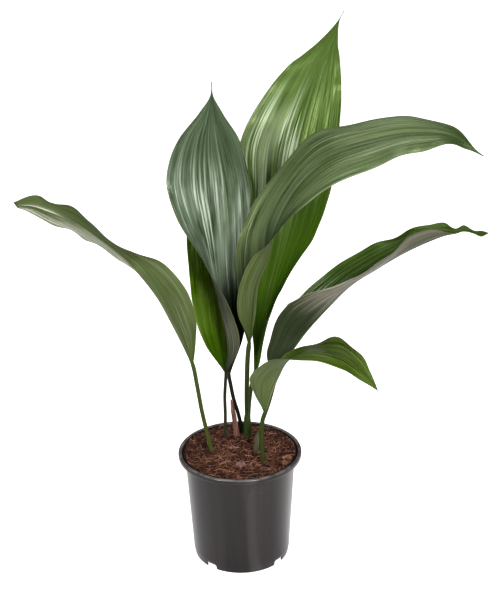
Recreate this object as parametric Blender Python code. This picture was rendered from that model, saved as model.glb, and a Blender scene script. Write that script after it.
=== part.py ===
"""Potted cast iron plant (Aspidistra): seven leathery leaves on stalks that rise from a
creeping rhizome in a round nursery pot. Metres, +Z up, origin at the middle of the foot
pad under the pot, which is the level that the pot stands on. -Y is the front."""
import math

import bmesh
import bpy
import numpy as np

MM = 0.001
GAP = 0.3 * MM              # between pieces that touch

# The pot: a thin moulded cone with a rolled lip and a foot skirt under a raised floor.
POT_HEIGHT = 130 * MM
RIM_R = 70 * MM             # outside of the lip: a 14 cm pot
LIP_WIDTH = 4 * MM          # on top; the inside slopes down from it to the wall
LIP_DEPTH = 6 * MM
LIP_ROUND = 1.4 * MM
BODY_TOP_R = 62.4 * MM      # outside, just under the lip
HEEL_R = 55.4 * MM          # outside, where the heel starts to taper in
HEEL_Z = 9 * MM
BASE_R = 54 * MM            # outside, at the ground
WALL = 1.5 * MM
FLOOR_Z = 8 * MM            # underside of the raised floor
FLOOR = 1.6 * MM
FOOT_PAD_R = 8 * MM
NOTCH_WIDTH = 14 * MM
NOTCH_HEIGHT = 6.5 * MM
NOTCH_COUNT = 4
NOTCH_ANGLE = 50            # degrees from the front to the first notch, towards +X
DRAIN_R = 5 * MM
DRAIN_CIRCLE_R = 36 * MM
POT_SIDES = 64
DRAIN_SIDES = 16

# The coir compost.
SOIL_MIDDLE_Z = 125 * MM
SOIL_EDGE_Z = 128 * MM
SOIL_EDGE_R = 64.2 * MM
SOIL_BACK_RISE = 2 * MM     # the compost is heaped a little behind the stalks
SOIL_LUMP = 0.7 * MM
SOIL_RINGS = 11
SOIL_SIDES = 40

# The rhizome creeps just under the surface, and every stalk stands on it.
RHIZOME_R = 7 * MM
RHIZOME_KNOB = 0.5 * MM     # how far each old leaf scar stands out
RHIZOME_KNOB_PITCH = 10     # mm
RHIZOME_STATIONS = 34
RHIZOME_SIDES = 10
RHIZOME_ROUTE = [           # mm
    (-31, 0, 92), (-25, 16, 92), (-18, 32, 92), (-6, 41, 92), (5, 43, 92), (14, 42, 92),
    (21, 31, 92), (20, 16, 92), (17, 3, 92), (22, -12, 92), (28, -24, 92),
]

# Leaves. A stalk is a list of points up its middle, from the rhizome. A blade is a list of
# cross sections up to the tip: the midrib's point, then the left and the right margin
# measured from the midrib, then how far each half bows towards the upper side. Left and
# right are as seen on the upper side with the tip up. All in mm.
LEAVES = {
    "leaf_left_arching": {
        "stalk_width": 4.6,
        "stalk": [(-27, 5, 99.5), (-31, 4, 122), (-37, 2, 153), (-42, 0, 182), (-46, -2, 213)],
        "blade": [
            ((-51, -4, 244), (2, 0, 1), (-1, 2, -1), 0, 0),
            ((-57, -6, 260), (11, -2, 8), (4, 18, -3), -1, -1),
            ((-71, -10, 295), (26, -6, 9), (10, 32, -2), -3, -3),
            ((-84, -12, 324), (29, -6, 15), (8, 40, -7), -4, -4),
            ((-98, -14, 347), (20, 2, 19), (3, 44, -6), -4, -4),
            ((-117, -14, 371), (7, 28, -4), (-5, 38, -18), -2, -2),
            ((-142, -12, 393), (1, 34, -9), (-9, 34, -18), -2, -2),
            ((-169, -8, 413), (2, 26, 1), (-7, 26, -21), -2, -2),
            ((-195, -4, 426), (2, 14, 5), (-7, 16, -20), -1, -1),
            ((-214, -2, 431), (1, 4, 9), (-5, 6, -10), 0, 0),
            ((-231.5, 0, 430), (-2.1, 0, 3.2), (2.1, 0, -3.2), 0, 0),
        ],
    },
    "leaf_front_upright": {
        "stalk_width": 4.4,
        "stalk": [(5, 46, 99.5), (3, 44, 130), (-1, 44, 153), (-6, 43, 173), (-9, 43, 191)],
        "blade": [
            ((-11, 43, 205), (-2, -1, 1), (2, -1, 1), 0, 0),
            ((-8, 46, 236), (9, -18, 7), (12, -6, 7), -8, -2),
            ((-6, 46, 298), (-6, -24, 8), (16, -8, 10), -12, -4),
            ((-8, 46, 342), (-27, -26, 11), (24, -10, 10), -10, -5),
            ((-9, 47, 385), (-50, -21, 8), (28, -7, 5), -5, -4),
            ((-12, 50, 436), (-61, -14, 5), (29, -7, 4), 0, -2),
            ((-18, 54, 480), (-41, -8, 4), (23, -8, 5), 2, 1),
            ((-21, 58, 508), (-15, -4, 3), (10, -4, 3), 1, 1),
            ((-22, 60, 530), (-1, 0, 0), (1, 0, 0), 0, 0),
            ((-22, 61, 543), (-0.4, 0, 0), (0.4, 0, 0), 0, 0),
        ],
    },
    "leaf_back_tall": {
        "stalk_width": 4.8,
        "stalk": [(12, 47, 99.5), (11, 47, 128), (11, 48, 152), (13, 50, 173), (16, 52, 190)],
        "blade": [
            ((20, 54, 204), (-2, 0, 0), (2, 0, 0), 0, 0),
            ((27, 62, 251), (-10, -12, 3), (5, -12, 8), -3, -3),
            ((37, 70, 297), (-25, -12, 3), (14, -12, 7), -4, -4),
            ((51, 80, 353), (-42, -4, -4), (37, -8, 7), -3, -3),
            ((63, 92, 408), (-56, -2, -5), (45, -6, 4), 0, 0),
            ((74, 102, 458), (-67, -6, 4), (42, -6, 6), 2, 2),
            ((88, 112, 506), (-56, -6, 4), (32, -6, 7), 2, 2),
            ((101, 120, 547), (-35, -4, 1), (18, -4, 0), 1, 1),
            ((112, 125, 572), (-19, -1, -6), (5, -1, -4), 0, 0),
            ((118, 128, 591), (-1, 0, -1), (1, 0, 0), 0, 0),
            ((124, 130, 601), (-0.4, 0, 0), (0.4, 0, 0), 0, 0),
        ],
    },
    "leaf_right_arching": {
        "stalk_width": 5.4,
        "stalk": [(10, 38, 99.5), (10, 38, 125), (9, 34, 169), (10, 30, 213), (11, 27, 234)],
        "blade": [
            ((13, 25, 253), (-2, 0, 0), (2, 0, 0), 0, 0),
            ((19, 16, 291), (-15, 13, -8), (-18, -10, 5), -7, -2),
            ((23, 6, 331), (-22, 22, -4), (-19, -10, 5), -9, -3),
            ((35, -2, 368), (-35, 27, -8), (-16, -12, 4), -7, -3),
            ((39, 2, 400), (-32, 22, -11), (0, -26, -5), -4, -3),
            ((56, 4, 437), (-31, 27, -15), (10, -34, -8), -2, 0),
            ((88, 0, 475), (-11, 34, 10), (17, -34, -17), 2, 2),
            ((139, -6, 496), (-5, 30, 10), (12, -32, -17), 3, 3),
            ((192, -16, 506), (0, 24, 9), (1, -24, -11), 3, 3),
            ((226, -26, 504), (3, 12, 5), (-1, -12, -7), 1, 1),
            ((245, -34, 493), (2, 0, -1), (-1, 0, -3), 0, 0),
            ((255, -38, 486), (0.3, 0, 0.3), (-0.3, 0, -0.3), 0, 0),
        ],
    },
    "leaf_back_left": {
        "stalk_width": 3.8,
        "stalk": [(-18, 34, 99.5), (-17, 36, 125), (-16, 39, 153), (-16, 42, 179), (-15, 45, 193)],
        "blade": [
            ((-14, 48, 205), (-2, 0, 0), (2, 0, 0), 0, 0),
            ((-14, 52, 237), (-23, -6, 4), (12, -4, 2), -2, -2),
            ((-16, 58, 278), (-33, -6, 6), (19, -6, 0), -2, -2),
            ((-19, 66, 324), (-34, -4, 3), (27, -4, -1), 0, 0),
            ((-23, 72, 370), (-31, -2, 2), (26, -2, -2), 1, 1),
            ((-25, 78, 409), (-21, -2, 3), (18, -2, 0), 1, 1),
            ((-27, 84, 442), (-7, -1, 0), (5, -1, -1), 0, 0),
            ((-29, 86, 457), (-0.4, 0, 0), (0.4, 0, 0), 0, 0),
        ],
    },
    "leaf_right_long": {
        "stalk_width": 4.2,
        "stalk": [(16, 4, 99.5), (18, 6, 119), (25, 10, 156), (34, 14, 182), (38, 16, 196)],
        "blade": [
            ((41.5, 17, 209), (-1, 2, -2), (-1, -2, 2), 0, 0),
            ((47, 16, 229), (-11, 16, 8), (-15, -9, 13), -2, -2),
            ((60, 14, 247), (-13, 28, 10), (-24, -13, 21), -3, -3),
            ((76, 12, 271), (-21, 34, 15), (-29, -16, 30), -3, -3),
            ((97, 10, 297), (-26, 40, -1), (-29, -20, 24), -3, -3),
            ((126, 10, 327), (-24, 38, 0), (-13, -32, 16), -3, -2),
            ((156, 12, 346), (-12, 36, 8), (-7, -38, 18), -2, -2),
            ((184, 16, 361), (-7, 30, 8), (-8, -30, 23), -1, -2),
            ((213, 22, 372), (-2, 16, 12), (-7, -18, 19), 0, -1),
            ((229, 26, 376), (0, 12, 10), (-4, -12, 10), 0, 0),
            ((241, 29, 377), (0, 7, 4), (-2, -8, 5), 0, 0),
            ((249, 30, 379), (0, 6, 5), (0, -5, 1), 0, 0),
            ((260, 30, 376.5), (0, 3, 0.8), (0, -2.5, -0.6), 0, 0),
            ((268, 31, 375), (1, 2, 2.6), (0, -3, -2.6), 0, 0),
            ((276, 32, 375), (0, 0.4, 0.5), (0, -0.4, -0.5), 0, 0),
        ],
    },
    "leaf_front_low": {
        "stalk_width": 5.0,
        "stalk": [(27, -21, 99.5), (26, -22, 124), (25, -20, 146), (25, -17, 165), (26, -16, 176)],
        "blade": [
            ((29, -16, 186), (2, 0, 1), (-2, 0, 1), 0, 0),
            ((34, -20, 208), (0, 12, 3), (-17, -4, 6), -3, -1),
            ((42, -24, 231), (-3, 13, 1), (-29, -12, 10), -4, -2),
            ((53, -28, 254), (-2, 18, 0), (-17, -24, 13), -4, -2),
            ((69, -30, 266), (-1, 26, -7), (-8, -32, 6), -2, 0),
            ((91, -34, 269), (0, 34, -6), (-7, -34, 3), 0, 2),
            ((112, -38, 266), (1, 32, 4), (-6, -28, -3), 0, 2),
            ((131, -46, 254), (2, 16, 7), (-8, -14, -4), 0, 1),
            ((143, -50, 240), (1, 4, 5), (-4, -4, -3), 0, 0),
            ((150, -54, 229), (0.3, 0, -0.3), (-0.3, 0, -0.3), 0, 0),
        ],
    },
}
STALK_STATIONS = 9
BLADE_STATIONS = 30
HALF_COLUMNS = 3            # cross-section steps from the midrib to a margin
RIB_THICK = 2.0             # mm, blade at the midrib near the stalk
RIB_THICK_TIP = 1.0
MARGIN_THICK = 0.6

# Dried and green scale leaves that wrap the foot of the clump: middle line, width and
# how far round each is curled, in mm and degrees; `faces` is the way its back bulges.
SHEATHS = {
    "sheath_brown": {
        "line": [(-3, 38, 108), (-4, 37, 128), (-5.5, 36, 146), (-7.5, 35, 164), (-8.5, 35, 176)],
        "widths": [8, 7.5, 5.5, 4.5, 2.2],
        "curl": 150,
        "faces": (-0.2, -1, 0),
    },
    "sheath_green": {
        "line": [(10, 34.2, 108), (10, 33.8, 124), (9.8, 32.4, 140), (9.4, 30.6, 156), (9.2, 29, 166)],
        "widths": [10, 10, 8.5, 6, 1.5],
        "curl": 170,
        "faces": (0.1, -1, 0),
    },
    "sheath_olive": {
        "line": [(17.6, 1, 108), (18, 1.6, 122), (19.4, 3.4, 134), (20.4, 4.6, 144), (21, 5.2, 150)],
        "widths": [7, 7, 6, 4, 1],
        "curl": 140,
        "faces": (0, -1, 0),
    },
}
SHEATH_THICK = 0.7          # mm
SHEATH_STATIONS = 12
SHEATH_COLUMNS = 6

# Bark chips lying in the compost: size (mm), place on the surface and turn (degrees).
CHIPS = {
    "bark_chip_1": ((10, 7, 4), (53, -17), 25),
    "bark_chip_2": ((7, 5, 3.5), (50.5, -28), -35),
    "bark_chip_3": ((11, 7, 4), (1, -29), 10),
}

COLOURS = {                 # colour, roughness
    "pot": ((0.045, 0.041, 0.043), 0.45),
    "soil": ((0.10, 0.042, 0.026), 0.95),
    "rhizome": ((0.30, 0.20, 0.11), 0.8),
    "leaf_left_arching": ((0.10, 0.17, 0.055), 0.5),
    "leaf_front_upright": ((0.045, 0.095, 0.05), 0.3),
    "leaf_back_tall": ((0.09, 0.21, 0.035), 0.3),
    "leaf_right_arching": ((0.06, 0.12, 0.045), 0.35),
    "leaf_back_left": ((0.10, 0.24, 0.02), 0.35),
    "leaf_right_long": ((0.05, 0.11, 0.04), 0.35),
    "leaf_front_low": ((0.05, 0.15, 0.02), 0.35),
    "sheath_brown": ((0.28, 0.12, 0.08), 0.7),
    "sheath_green": ((0.09, 0.16, 0.05), 0.5),
    "sheath_olive": ((0.10, 0.10, 0.055), 0.7),
    "bark_chip_1": ((0.42, 0.19, 0.08), 0.85),
    "bark_chip_2": ((0.36, 0.15, 0.06), 0.85),
    "bark_chip_3": ((0.22, 0.17, 0.15), 0.85),
}


def principled(name):
    colour, roughness = COLOURS[name]
    material = bpy.data.materials.new(name)
    material.use_nodes = True
    shader = material.node_tree.nodes["Principled BSDF"]
    shader.inputs["Base Color"].default_value = (*colour, 1)
    shader.inputs["Roughness"].default_value = roughness
    shader.inputs["Metallic"].default_value = 0.0
    return material


def add_object(name, bm, smooth_angle=40):
    """A closed mesh with its faces out, as an object with its own material."""
    bmesh.ops.recalc_face_normals(bm, faces=bm.faces)
    mesh = bpy.data.meshes.new(name)
    bm.to_mesh(mesh)
    bm.free()
    mesh.shade_smooth()
    mesh.set_sharp_from_angle(angle=math.radians(smooth_angle))
    obj = bpy.data.objects.new(name, mesh)
    bpy.context.scene.collection.objects.link(obj)
    if name in COLOURS:
        mesh.materials.append(principled(name))
    return obj


def cut(obj, cutter):
    """Take the cutter's shape out of the object; the cutter is only a guide."""
    cutter.hide_render = True
    cutter.display_type = "WIRE"
    modifier = obj.modifiers.new("cut " + cutter.name, "BOOLEAN")
    modifier.operation = "DIFFERENCE"
    modifier.solver = "EXACT"
    modifier.object = cutter


def turned(profile, sides):
    """Spin a profile of (radius, height) that starts and ends on the axis."""
    bm = bmesh.new()
    verts = [bm.verts.new((r, 0, z)) for r, z in profile]
    edges = [bm.edges.new(pair) for pair in zip(verts, verts[1:])]
    bmesh.ops.spin(bm, geom=verts + edges, cent=(0, 0, 0), axis=(0, 0, 1),
                   angle=math.tau, steps=sides, use_merge=True)
    bmesh.ops.remove_doubles(bm, verts=bm.verts, dist=1e-6)
    return bm


def loft(rings):
    """Skin closed rings of points, all with the same count, and cap both ends."""
    bm = bmesh.new()
    rows = [[bm.verts.new(point) for point in ring] for ring in rings]
    count = len(rows[0])
    for low, high in zip(rows, rows[1:]):
        for i in range(count):
            j = (i + 1) % count
            bm.faces.new((low[i], low[j], high[j], high[i]))
    bm.faces.new(rows[0][::-1])
    bm.faces.new(rows[-1])
    bmesh.ops.triangulate(bm, faces=bm.faces)
    return bm


def smooth_through(knots, values, at):
    """A smooth curve (cubic Hermite) through values at the knots, read at `at`."""
    values = np.asarray(values, float)
    slopes = np.gradient(values, knots, axis=0)
    i = np.clip(np.searchsorted(knots, at, side="right") - 1, 0, len(knots) - 2)
    span = (knots[i + 1] - knots[i])[:, None]
    t = (at - knots[i])[:, None] / span
    start = (1 + 2 * t) * (1 - t) ** 2 * values[i] + t * (1 - t) ** 2 * span * slopes[i]
    end = t * t * (3 - 2 * t) * values[i + 1] + t * t * (t - 1) * span * slopes[i + 1]
    return start + end


def lengths_along(points):
    steps = np.linalg.norm(np.diff(np.asarray(points, float), axis=0), axis=1)
    return np.concatenate([[0.0], np.cumsum(steps)])


def unit(vectors):
    vectors = np.asarray(vectors, float)
    size = np.linalg.norm(vectors, axis=-1, keepdims=True)
    return vectors / np.maximum(size, 1e-9)


def leaf_surface(spec, stalk_stations, blade_stations, half_columns):
    """The middle surface of a leaf: points[station, column], from the left margin over
    the midrib to the right margin, and the share of the blade's length at each station
    (negative on the stalk)."""
    stalk = np.array(spec["stalk"], float)
    mid_points = np.vstack([stalk, [row[0] for row in spec["blade"]]])
    left, right = (np.array([row[k] for row in spec["blade"]], float) for k in (1, 2))
    bows = np.array([row[3:5] for row in spec["blade"]], float)
    knots = lengths_along(mid_points)
    blade_knots = knots[len(stalk):]
    foot, tip = blade_knots[0], blade_knots[-1]
    at = np.concatenate([np.linspace(0, foot, stalk_stations, endpoint=False),
                         np.linspace(foot, tip, blade_stations)])
    on_blade = np.maximum(at, foot)
    middle = smooth_through(knots, mid_points, at)
    along = unit(np.gradient(middle, at, axis=0))
    halves = [smooth_through(blade_knots, side, on_blade) for side in (left, right)]
    across = right[0] - left[0]
    stalk_side = unit(across - (along @ unit(across))[:, None] * along * np.linalg.norm(across))
    is_stalk = (at < foot)[:, None]
    half_stalk = spec["stalk_width"] / 2
    halves[0] = np.where(is_stalk, -half_stalk * stalk_side, halves[0])
    halves[1] = np.where(is_stalk, half_stalk * stalk_side, halves[1])
    bow = np.where(is_stalk, 0.0, smooth_through(blade_knots, bows, on_blade))
    share = np.linspace(0, 1, half_columns + 1)
    sheets = []
    for side, turn in ((0, 1), (1, -1)):
        out = halves[side]
        up = unit(np.cross(along, out) * turn)
        arch = 4 * bow[:, side, None, None] * (share * (1 - share))[None, :, None]
        sheets.append(middle[:, None] + out[:, None] * share[None, :, None] + arch * up[:, None])
    points = np.concatenate([sheets[0][:, ::-1], sheets[1][:, 1:]], axis=1)
    return points, (at - foot) / (tip - foot)


def leaf_thickness(spec, blade_share, half_columns):
    """Thickness (mm) at each station and column: a round stalk that flattens into a
    thin blade with a thicker midrib."""
    across = np.abs(np.linspace(-1, 1, 2 * half_columns + 1))
    stalk = spec["stalk_width"] * np.sqrt(np.clip(1 - across ** 2, 0, 1))
    rib = RIB_THICK + (RIB_THICK_TIP - RIB_THICK) * np.clip(blade_share, 0, 1)
    blade = MARGIN_THICK + (rib[:, None] - MARGIN_THICK) * (1 - across[None, :]) ** 1.5
    flat = np.clip((blade_share + 0.02) / 0.12, 0, 1)
    flat = (flat * flat * (3 - 2 * flat))[:, None]
    thin_end = np.clip((1 - blade_share) / 0.05, 0.35, 1)[:, None]
    return (stalk[None, :] * (1 - flat) + blade * flat) * thin_end


def leaf_rings(spec, extra=0.0):
    """Closed rings round the leaf, upper side then lower side, grown outwards by `extra`."""
    points, blade_share = leaf_surface(spec, STALK_STATIONS, BLADE_STATIONS, HALF_COLUMNS)
    thick = leaf_thickness(spec, blade_share, HALF_COLUMNS)
    down_the_leaf = np.gradient(points, axis=0)
    over_the_leaf = np.gradient(points, axis=1)
    up = unit(np.cross(over_the_leaf, down_the_leaf))
    upper = points + up * (thick / 2 + extra)[:, :, None]
    lower = points - up * (thick / 2 + extra)[:, :, None]
    side = unit(points[:, -1] - points[:, 0])
    left = points[:, 0] - side * extra
    right = points[:, -1] + side * extra
    rings = [np.vstack([[left[i]], upper[i, 1:-1], [right[i]], lower[i, -2:0:-1]])
             for i in range(len(points))]
    return [ring * MM for ring in rings], blade_share


def tube_rings(route, radii, sides):
    """Rings round a route of points, for the rhizome."""
    along = unit(np.gradient(np.asarray(route, float), axis=0))
    rings = []
    for point, direction, radius in zip(route, along, radii):
        side = unit(np.cross(direction, (0, 0, 1)))
        up = np.cross(side, direction)
        turn = [math.tau * k / sides for k in range(sides)]
        rings.append([np.asarray(point) + radius * (math.cos(a) * side + math.sin(a) * up)
                      for a in turn])
    return rings


def pot_radius(z):
    """Outside of the pot's body at a height: a short heel, then one straight taper."""
    if z < HEEL_Z:
        return BASE_R + (HEEL_R - BASE_R) * z / HEEL_Z
    return HEEL_R + (BODY_TOP_R - HEEL_R) * (z - HEEL_Z) / (POT_HEIGHT - LIP_DEPTH - HEEL_Z)


def make_pot():
    under_lip = POT_HEIGHT - LIP_DEPTH
    lip_inner = RIM_R - LIP_WIDTH
    floor_top = FLOOR_Z + FLOOR
    skirt_inner = pot_radius(FLOOR_Z) - WALL
    bm = turned([
        (0, 0),
        (FOOT_PAD_R, 0),
        (FOOT_PAD_R + 1 * MM, FLOOR_Z),
        (skirt_inner - 1 * MM, FLOOR_Z),
        (BASE_R - WALL, 1 * MM),
        (BASE_R - WALL + 0.4 * MM, 0),
        (BASE_R, 0),
        (HEEL_R, HEEL_Z),
        (BODY_TOP_R, under_lip),
        (RIM_R - LIP_ROUND, under_lip + 0.3 * MM),
        (RIM_R, under_lip + LIP_ROUND),
        (RIM_R, POT_HEIGHT - LIP_ROUND),
        (RIM_R - LIP_ROUND, POT_HEIGHT),
        (lip_inner + 0.8 * MM, POT_HEIGHT),
        (lip_inner, POT_HEIGHT - 0.8 * MM),
        (lip_inner - 0.4 * MM, POT_HEIGHT - 1.2 * MM),
        (BODY_TOP_R - WALL, under_lip + 0.4 * MM),
        (pot_radius(floor_top + 2 * MM) - WALL, floor_top + 2 * MM),
        (pot_radius(floor_top) - WALL - 2 * MM, floor_top),
        (0, floor_top),
    ], POT_SIDES)
    pot = add_object("pot", bm)
    for k in range(NOTCH_COUNT):
        angle = math.radians(NOTCH_ANGLE + 360 * k / NOTCH_COUNT)
        outward = (math.sin(angle), -math.cos(angle))
        cut(pot, notch_cutter(k, angle, outward))
        cut(pot, drain_cutter(k, outward))
    return pot


def notch_cutter(number, angle, outward):
    bm = bmesh.new()
    bmesh.ops.create_cube(bm, size=1)
    bmesh.ops.scale(bm, vec=(NOTCH_WIDTH, 12 * MM, 2 * NOTCH_HEIGHT), verts=bm.verts)
    cutter = add_object("notch_cutter_%d" % number, bm)
    cutter.location = (outward[0] * BASE_R, outward[1] * BASE_R, 0)
    cutter.rotation_euler = (0, 0, angle)
    return cutter


def drain_cutter(number, outward):
    bm = bmesh.new()
    bmesh.ops.create_cone(bm, cap_ends=True, segments=DRAIN_SIDES, radius1=DRAIN_R, radius2=DRAIN_R,
                          depth=3 * FLOOR)
    cutter = add_object("drain_cutter_%d" % number, bm)
    cutter.location = (outward[0] * DRAIN_CIRCLE_R, outward[1] * DRAIN_CIRCLE_R,
                       FLOOR_Z + FLOOR / 2)
    return cutter


def soil_height(x, y):
    """The top of the compost: pressed down round the stalks, higher at the rim."""
    share = min(1.0, math.hypot(x, y) / SOIL_EDGE_R)
    mound = SOIL_MIDDLE_Z + (SOIL_EDGE_Z - SOIL_MIDDLE_Z) * share ** 4
    back = SOIL_BACK_RISE * max(0.0, y / (45 * MM)) * (1 - share ** 4)
    u, v = x / MM, y / MM
    lumps = math.sin(u / 6.1 + 1.0) * math.cos(v / 5.3) + 0.6 * math.sin(u / 3.4 - v / 4.1)
    return mound + back + SOIL_LUMP * lumps * (1 - share ** 3)


def make_soil():
    """The compost fills the pot from its floor, clear of the wall by the gap."""
    bottom_z = FLOOR_Z + FLOOR + GAP
    clear = WALL + 1.5 * GAP
    shoulder_z = bottom_z + 2.2 * MM
    wall_top_z = POT_HEIGHT - LIP_DEPTH + 0.4 * MM
    sides = [(pot_radius(bottom_z) - clear - 2 * MM, bottom_z),
             (pot_radius(shoulder_z) - clear, shoulder_z),
             (BODY_TOP_R - clear, wall_top_z)]
    bm = bmesh.new()
    angles = [math.tau * k / SOIL_SIDES for k in range(SOIL_SIDES)]
    rings = []
    for r, z in sides:
        rings.append([bm.verts.new((r * math.cos(a), r * math.sin(a), z)) for a in angles])
    for k in range(SOIL_RINGS):
        r = SOIL_EDGE_R * (1 - k / SOIL_RINGS)
        rings.append([bm.verts.new((r * math.cos(a), r * math.sin(a),
                                    soil_height(r * math.cos(a), r * math.sin(a))))
                      for a in angles])
    for low, high in zip(rings, rings[1:]):
        for i in range(SOIL_SIDES):
            j = (i + 1) % SOIL_SIDES
            bm.faces.new((low[i], low[j], high[j], high[i]))
    bm.faces.new(rings[0][::-1])
    crown = bm.verts.new((0, 0, soil_height(0, 0)))
    for i in range(SOIL_SIDES):
        bm.faces.new((rings[-1][i], rings[-1][(i + 1) % SOIL_SIDES], crown))
    bmesh.ops.triangulate(bm, faces=bm.faces)
    return add_object("soil", bm)


def rhizome_shape(extra=0.0):
    """A knobbly creeping stem: the radius swells at each old leaf scar."""
    knots = lengths_along(RHIZOME_ROUTE)
    at = np.linspace(0, knots[-1], RHIZOME_STATIONS)
    route = smooth_through(knots, RHIZOME_ROUTE, at) * MM
    radii = []
    for k, length in enumerate(at):
        end = min(1.0, 0.55 + 0.45 * min(k, RHIZOME_STATIONS - 1 - k) / 2)
        knob = RHIZOME_KNOB * (1 + math.cos(math.tau * length / RHIZOME_KNOB_PITCH))
        radii.append((RHIZOME_R - knob) * end + extra)
    if extra:
        ends = unit(route[0] - route[1]), unit(route[-1] - route[-2])
        route = np.vstack([[route[0] + extra * ends[0]], route[1:-1], [route[-1] + extra * ends[1]]])
    return loft(tube_rings(route, radii, RHIZOME_SIDES))


def make_leaf(name, spec):
    rings, _ = leaf_rings(spec)
    return add_object(name, loft(rings), smooth_angle=50)


def stalk_cutter(name, spec):
    """The room that a stalk takes in the compost, with the gap all round."""
    rings, blade_share = leaf_rings(spec, extra=1.3 * GAP / MM)
    stalk = [ring for ring, share in zip(rings, blade_share) if share < 0]
    direction = unit(np.mean(stalk[1], axis=0) - np.mean(stalk[0], axis=0))
    deeper = [stalk[0] - 3 * MM * direction]
    return add_object(name + "_socket", loft(deeper + stalk[:4]))


def sheath_rings(spec, extra=0.0):
    """A thin scale curled round its middle line."""
    knots = lengths_along(spec["line"])
    at = np.linspace(0, knots[-1], SHEATH_STATIONS)
    line = smooth_through(knots, spec["line"], at)
    widths = smooth_through(knots, [[w] for w in spec["widths"]], at)[:, 0]
    along = unit(np.gradient(line, at, axis=0))
    half_curl = math.radians(spec["curl"]) / 2
    rings = []
    for point, direction, width in zip(line, along, widths):
        out = unit(np.array(spec["faces"]) - direction * np.dot(spec["faces"], direction))
        side = np.cross(direction, out)
        radius = max(width, 0.8) / (2 * math.sin(min(half_curl, math.pi / 2)))
        centre = point - out * radius
        ring = []
        for offset, order in ((SHEATH_THICK / 2 + extra, 1), (-SHEATH_THICK / 2 - extra, -1)):
            r = max(radius + offset, 0.15)
            spread = half_curl + extra / max(radius, 0.5)
            angles = np.linspace(-spread, spread, SHEATH_COLUMNS + 1)[::order]
            ring += [centre + r * (math.cos(a) * out + math.sin(a) * side) for a in angles]
        rings.append(np.array(ring) * MM)
    return rings


def chip_shape(size, place, turn, extra=0.0):
    """A split flake of bark: a bevelled block with one end broken at a slant."""
    bm = bmesh.new()
    bmesh.ops.create_cube(bm, size=1)
    for vert in bm.verts:
        slant = 0.78 if vert.co.x > 0 else 1.0
        vert.co.y *= slant
        vert.co.z *= 1.0 if vert.co.y > 0 else 0.8
        if vert.co.x > 0 and vert.co.y > 0:
            vert.co.x *= 0.7
    scale = [length * MM + 2 * extra for length in size]
    bmesh.ops.scale(bm, vec=scale, verts=bm.verts)
    bmesh.ops.bevel(bm, geom=bm.edges[:], offset=0.8 * MM, segments=1, affect="EDGES")
    angle = math.radians(turn)
    for vert in bm.verts:
        x, y = vert.co.x, vert.co.y
        vert.co.x = x * math.cos(angle) - y * math.sin(angle) + place[0] * MM
        vert.co.y = x * math.sin(angle) + y * math.cos(angle) + place[1] * MM
        vert.co.z += soil_height(place[0] * MM, place[1] * MM) + 0.8 * MM
    return bm


def build():
    for obj in list(bpy.data.objects):
        bpy.data.objects.remove(obj)
    make_pot()
    soil = make_soil()
    add_object("rhizome", rhizome_shape())
    cut(soil, add_object("rhizome_socket", rhizome_shape(1.2 * GAP)))
    for name, spec in LEAVES.items():
        make_leaf(name, spec)
        cut(soil, stalk_cutter(name, spec))
    for name, spec in SHEATHS.items():
        add_object(name, loft(sheath_rings(spec)))
        cut(soil, add_object(name + "_socket", loft(sheath_rings(spec, 1.2 * GAP / MM))))
    for name, (size, place, turn) in CHIPS.items():
        add_object(name, chip_shape(size, place, turn), smooth_angle=20)
        cut(soil, add_object(name + "_socket", chip_shape(size, place, turn, 1.2 * GAP)))


build()
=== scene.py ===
# %% [markdown]
# # A potted cast iron plant
# The plant is built around a imported CAD model: a nursery pot, the compost in it, a creeping
# rhizome, seven leaves and a few scale leaves and bark chips. The CAD says where everything is
# and how big it is. This lesson makes the fine surfaces: glossy ribbed leaves, matt undersides,
# a satin plastic pot and loose coir compost. We load the frame first.

# %% Load the frame
import math
import random

import bmesh
import bpy
import numpy as np
from mathutils import Matrix, Vector, noise


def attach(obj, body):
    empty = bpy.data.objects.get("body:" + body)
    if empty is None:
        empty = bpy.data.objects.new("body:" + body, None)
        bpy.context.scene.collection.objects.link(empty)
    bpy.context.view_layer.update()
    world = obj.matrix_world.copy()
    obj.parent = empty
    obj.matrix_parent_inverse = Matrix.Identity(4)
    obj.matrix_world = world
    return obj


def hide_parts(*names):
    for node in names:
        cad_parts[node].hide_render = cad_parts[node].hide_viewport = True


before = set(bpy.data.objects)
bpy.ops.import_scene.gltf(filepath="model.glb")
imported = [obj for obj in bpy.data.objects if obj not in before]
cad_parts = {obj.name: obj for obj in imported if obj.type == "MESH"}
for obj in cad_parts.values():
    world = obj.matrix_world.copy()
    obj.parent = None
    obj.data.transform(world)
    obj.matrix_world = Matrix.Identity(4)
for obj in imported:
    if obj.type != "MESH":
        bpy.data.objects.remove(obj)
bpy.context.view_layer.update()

MM = 0.001

# %% [markdown]
# ## The camera
# The plant is looked down on from chest height with a long lens, so the far leaves aren't much
# smaller than the near ones. A 90 mm lens from about a metre and a half does that. The camera
# is aimed by turning it about Z, tipping it down and rolling it a little, which keeps each
# angle readable, where a tracking constraint would hide them.

# %% Camera
CAMERA_AT = (0, -1.488, 0.962)      # m
PAN = 0.43                  # degrees towards +X
TILT_DOWN = 23.43
ROLL = -1.04
LENS = 90.0                 # mm
SENSOR = 36.0


def turn(degrees, axis):
    return Matrix.Rotation(math.radians(degrees), 4, axis)


def into_scene(name, data):
    """Make an object of a mesh, a lamp or a camera and link it into the scene."""
    made = bpy.data.objects.new(name, data)
    bpy.context.scene.collection.objects.link(made)
    return made


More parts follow.
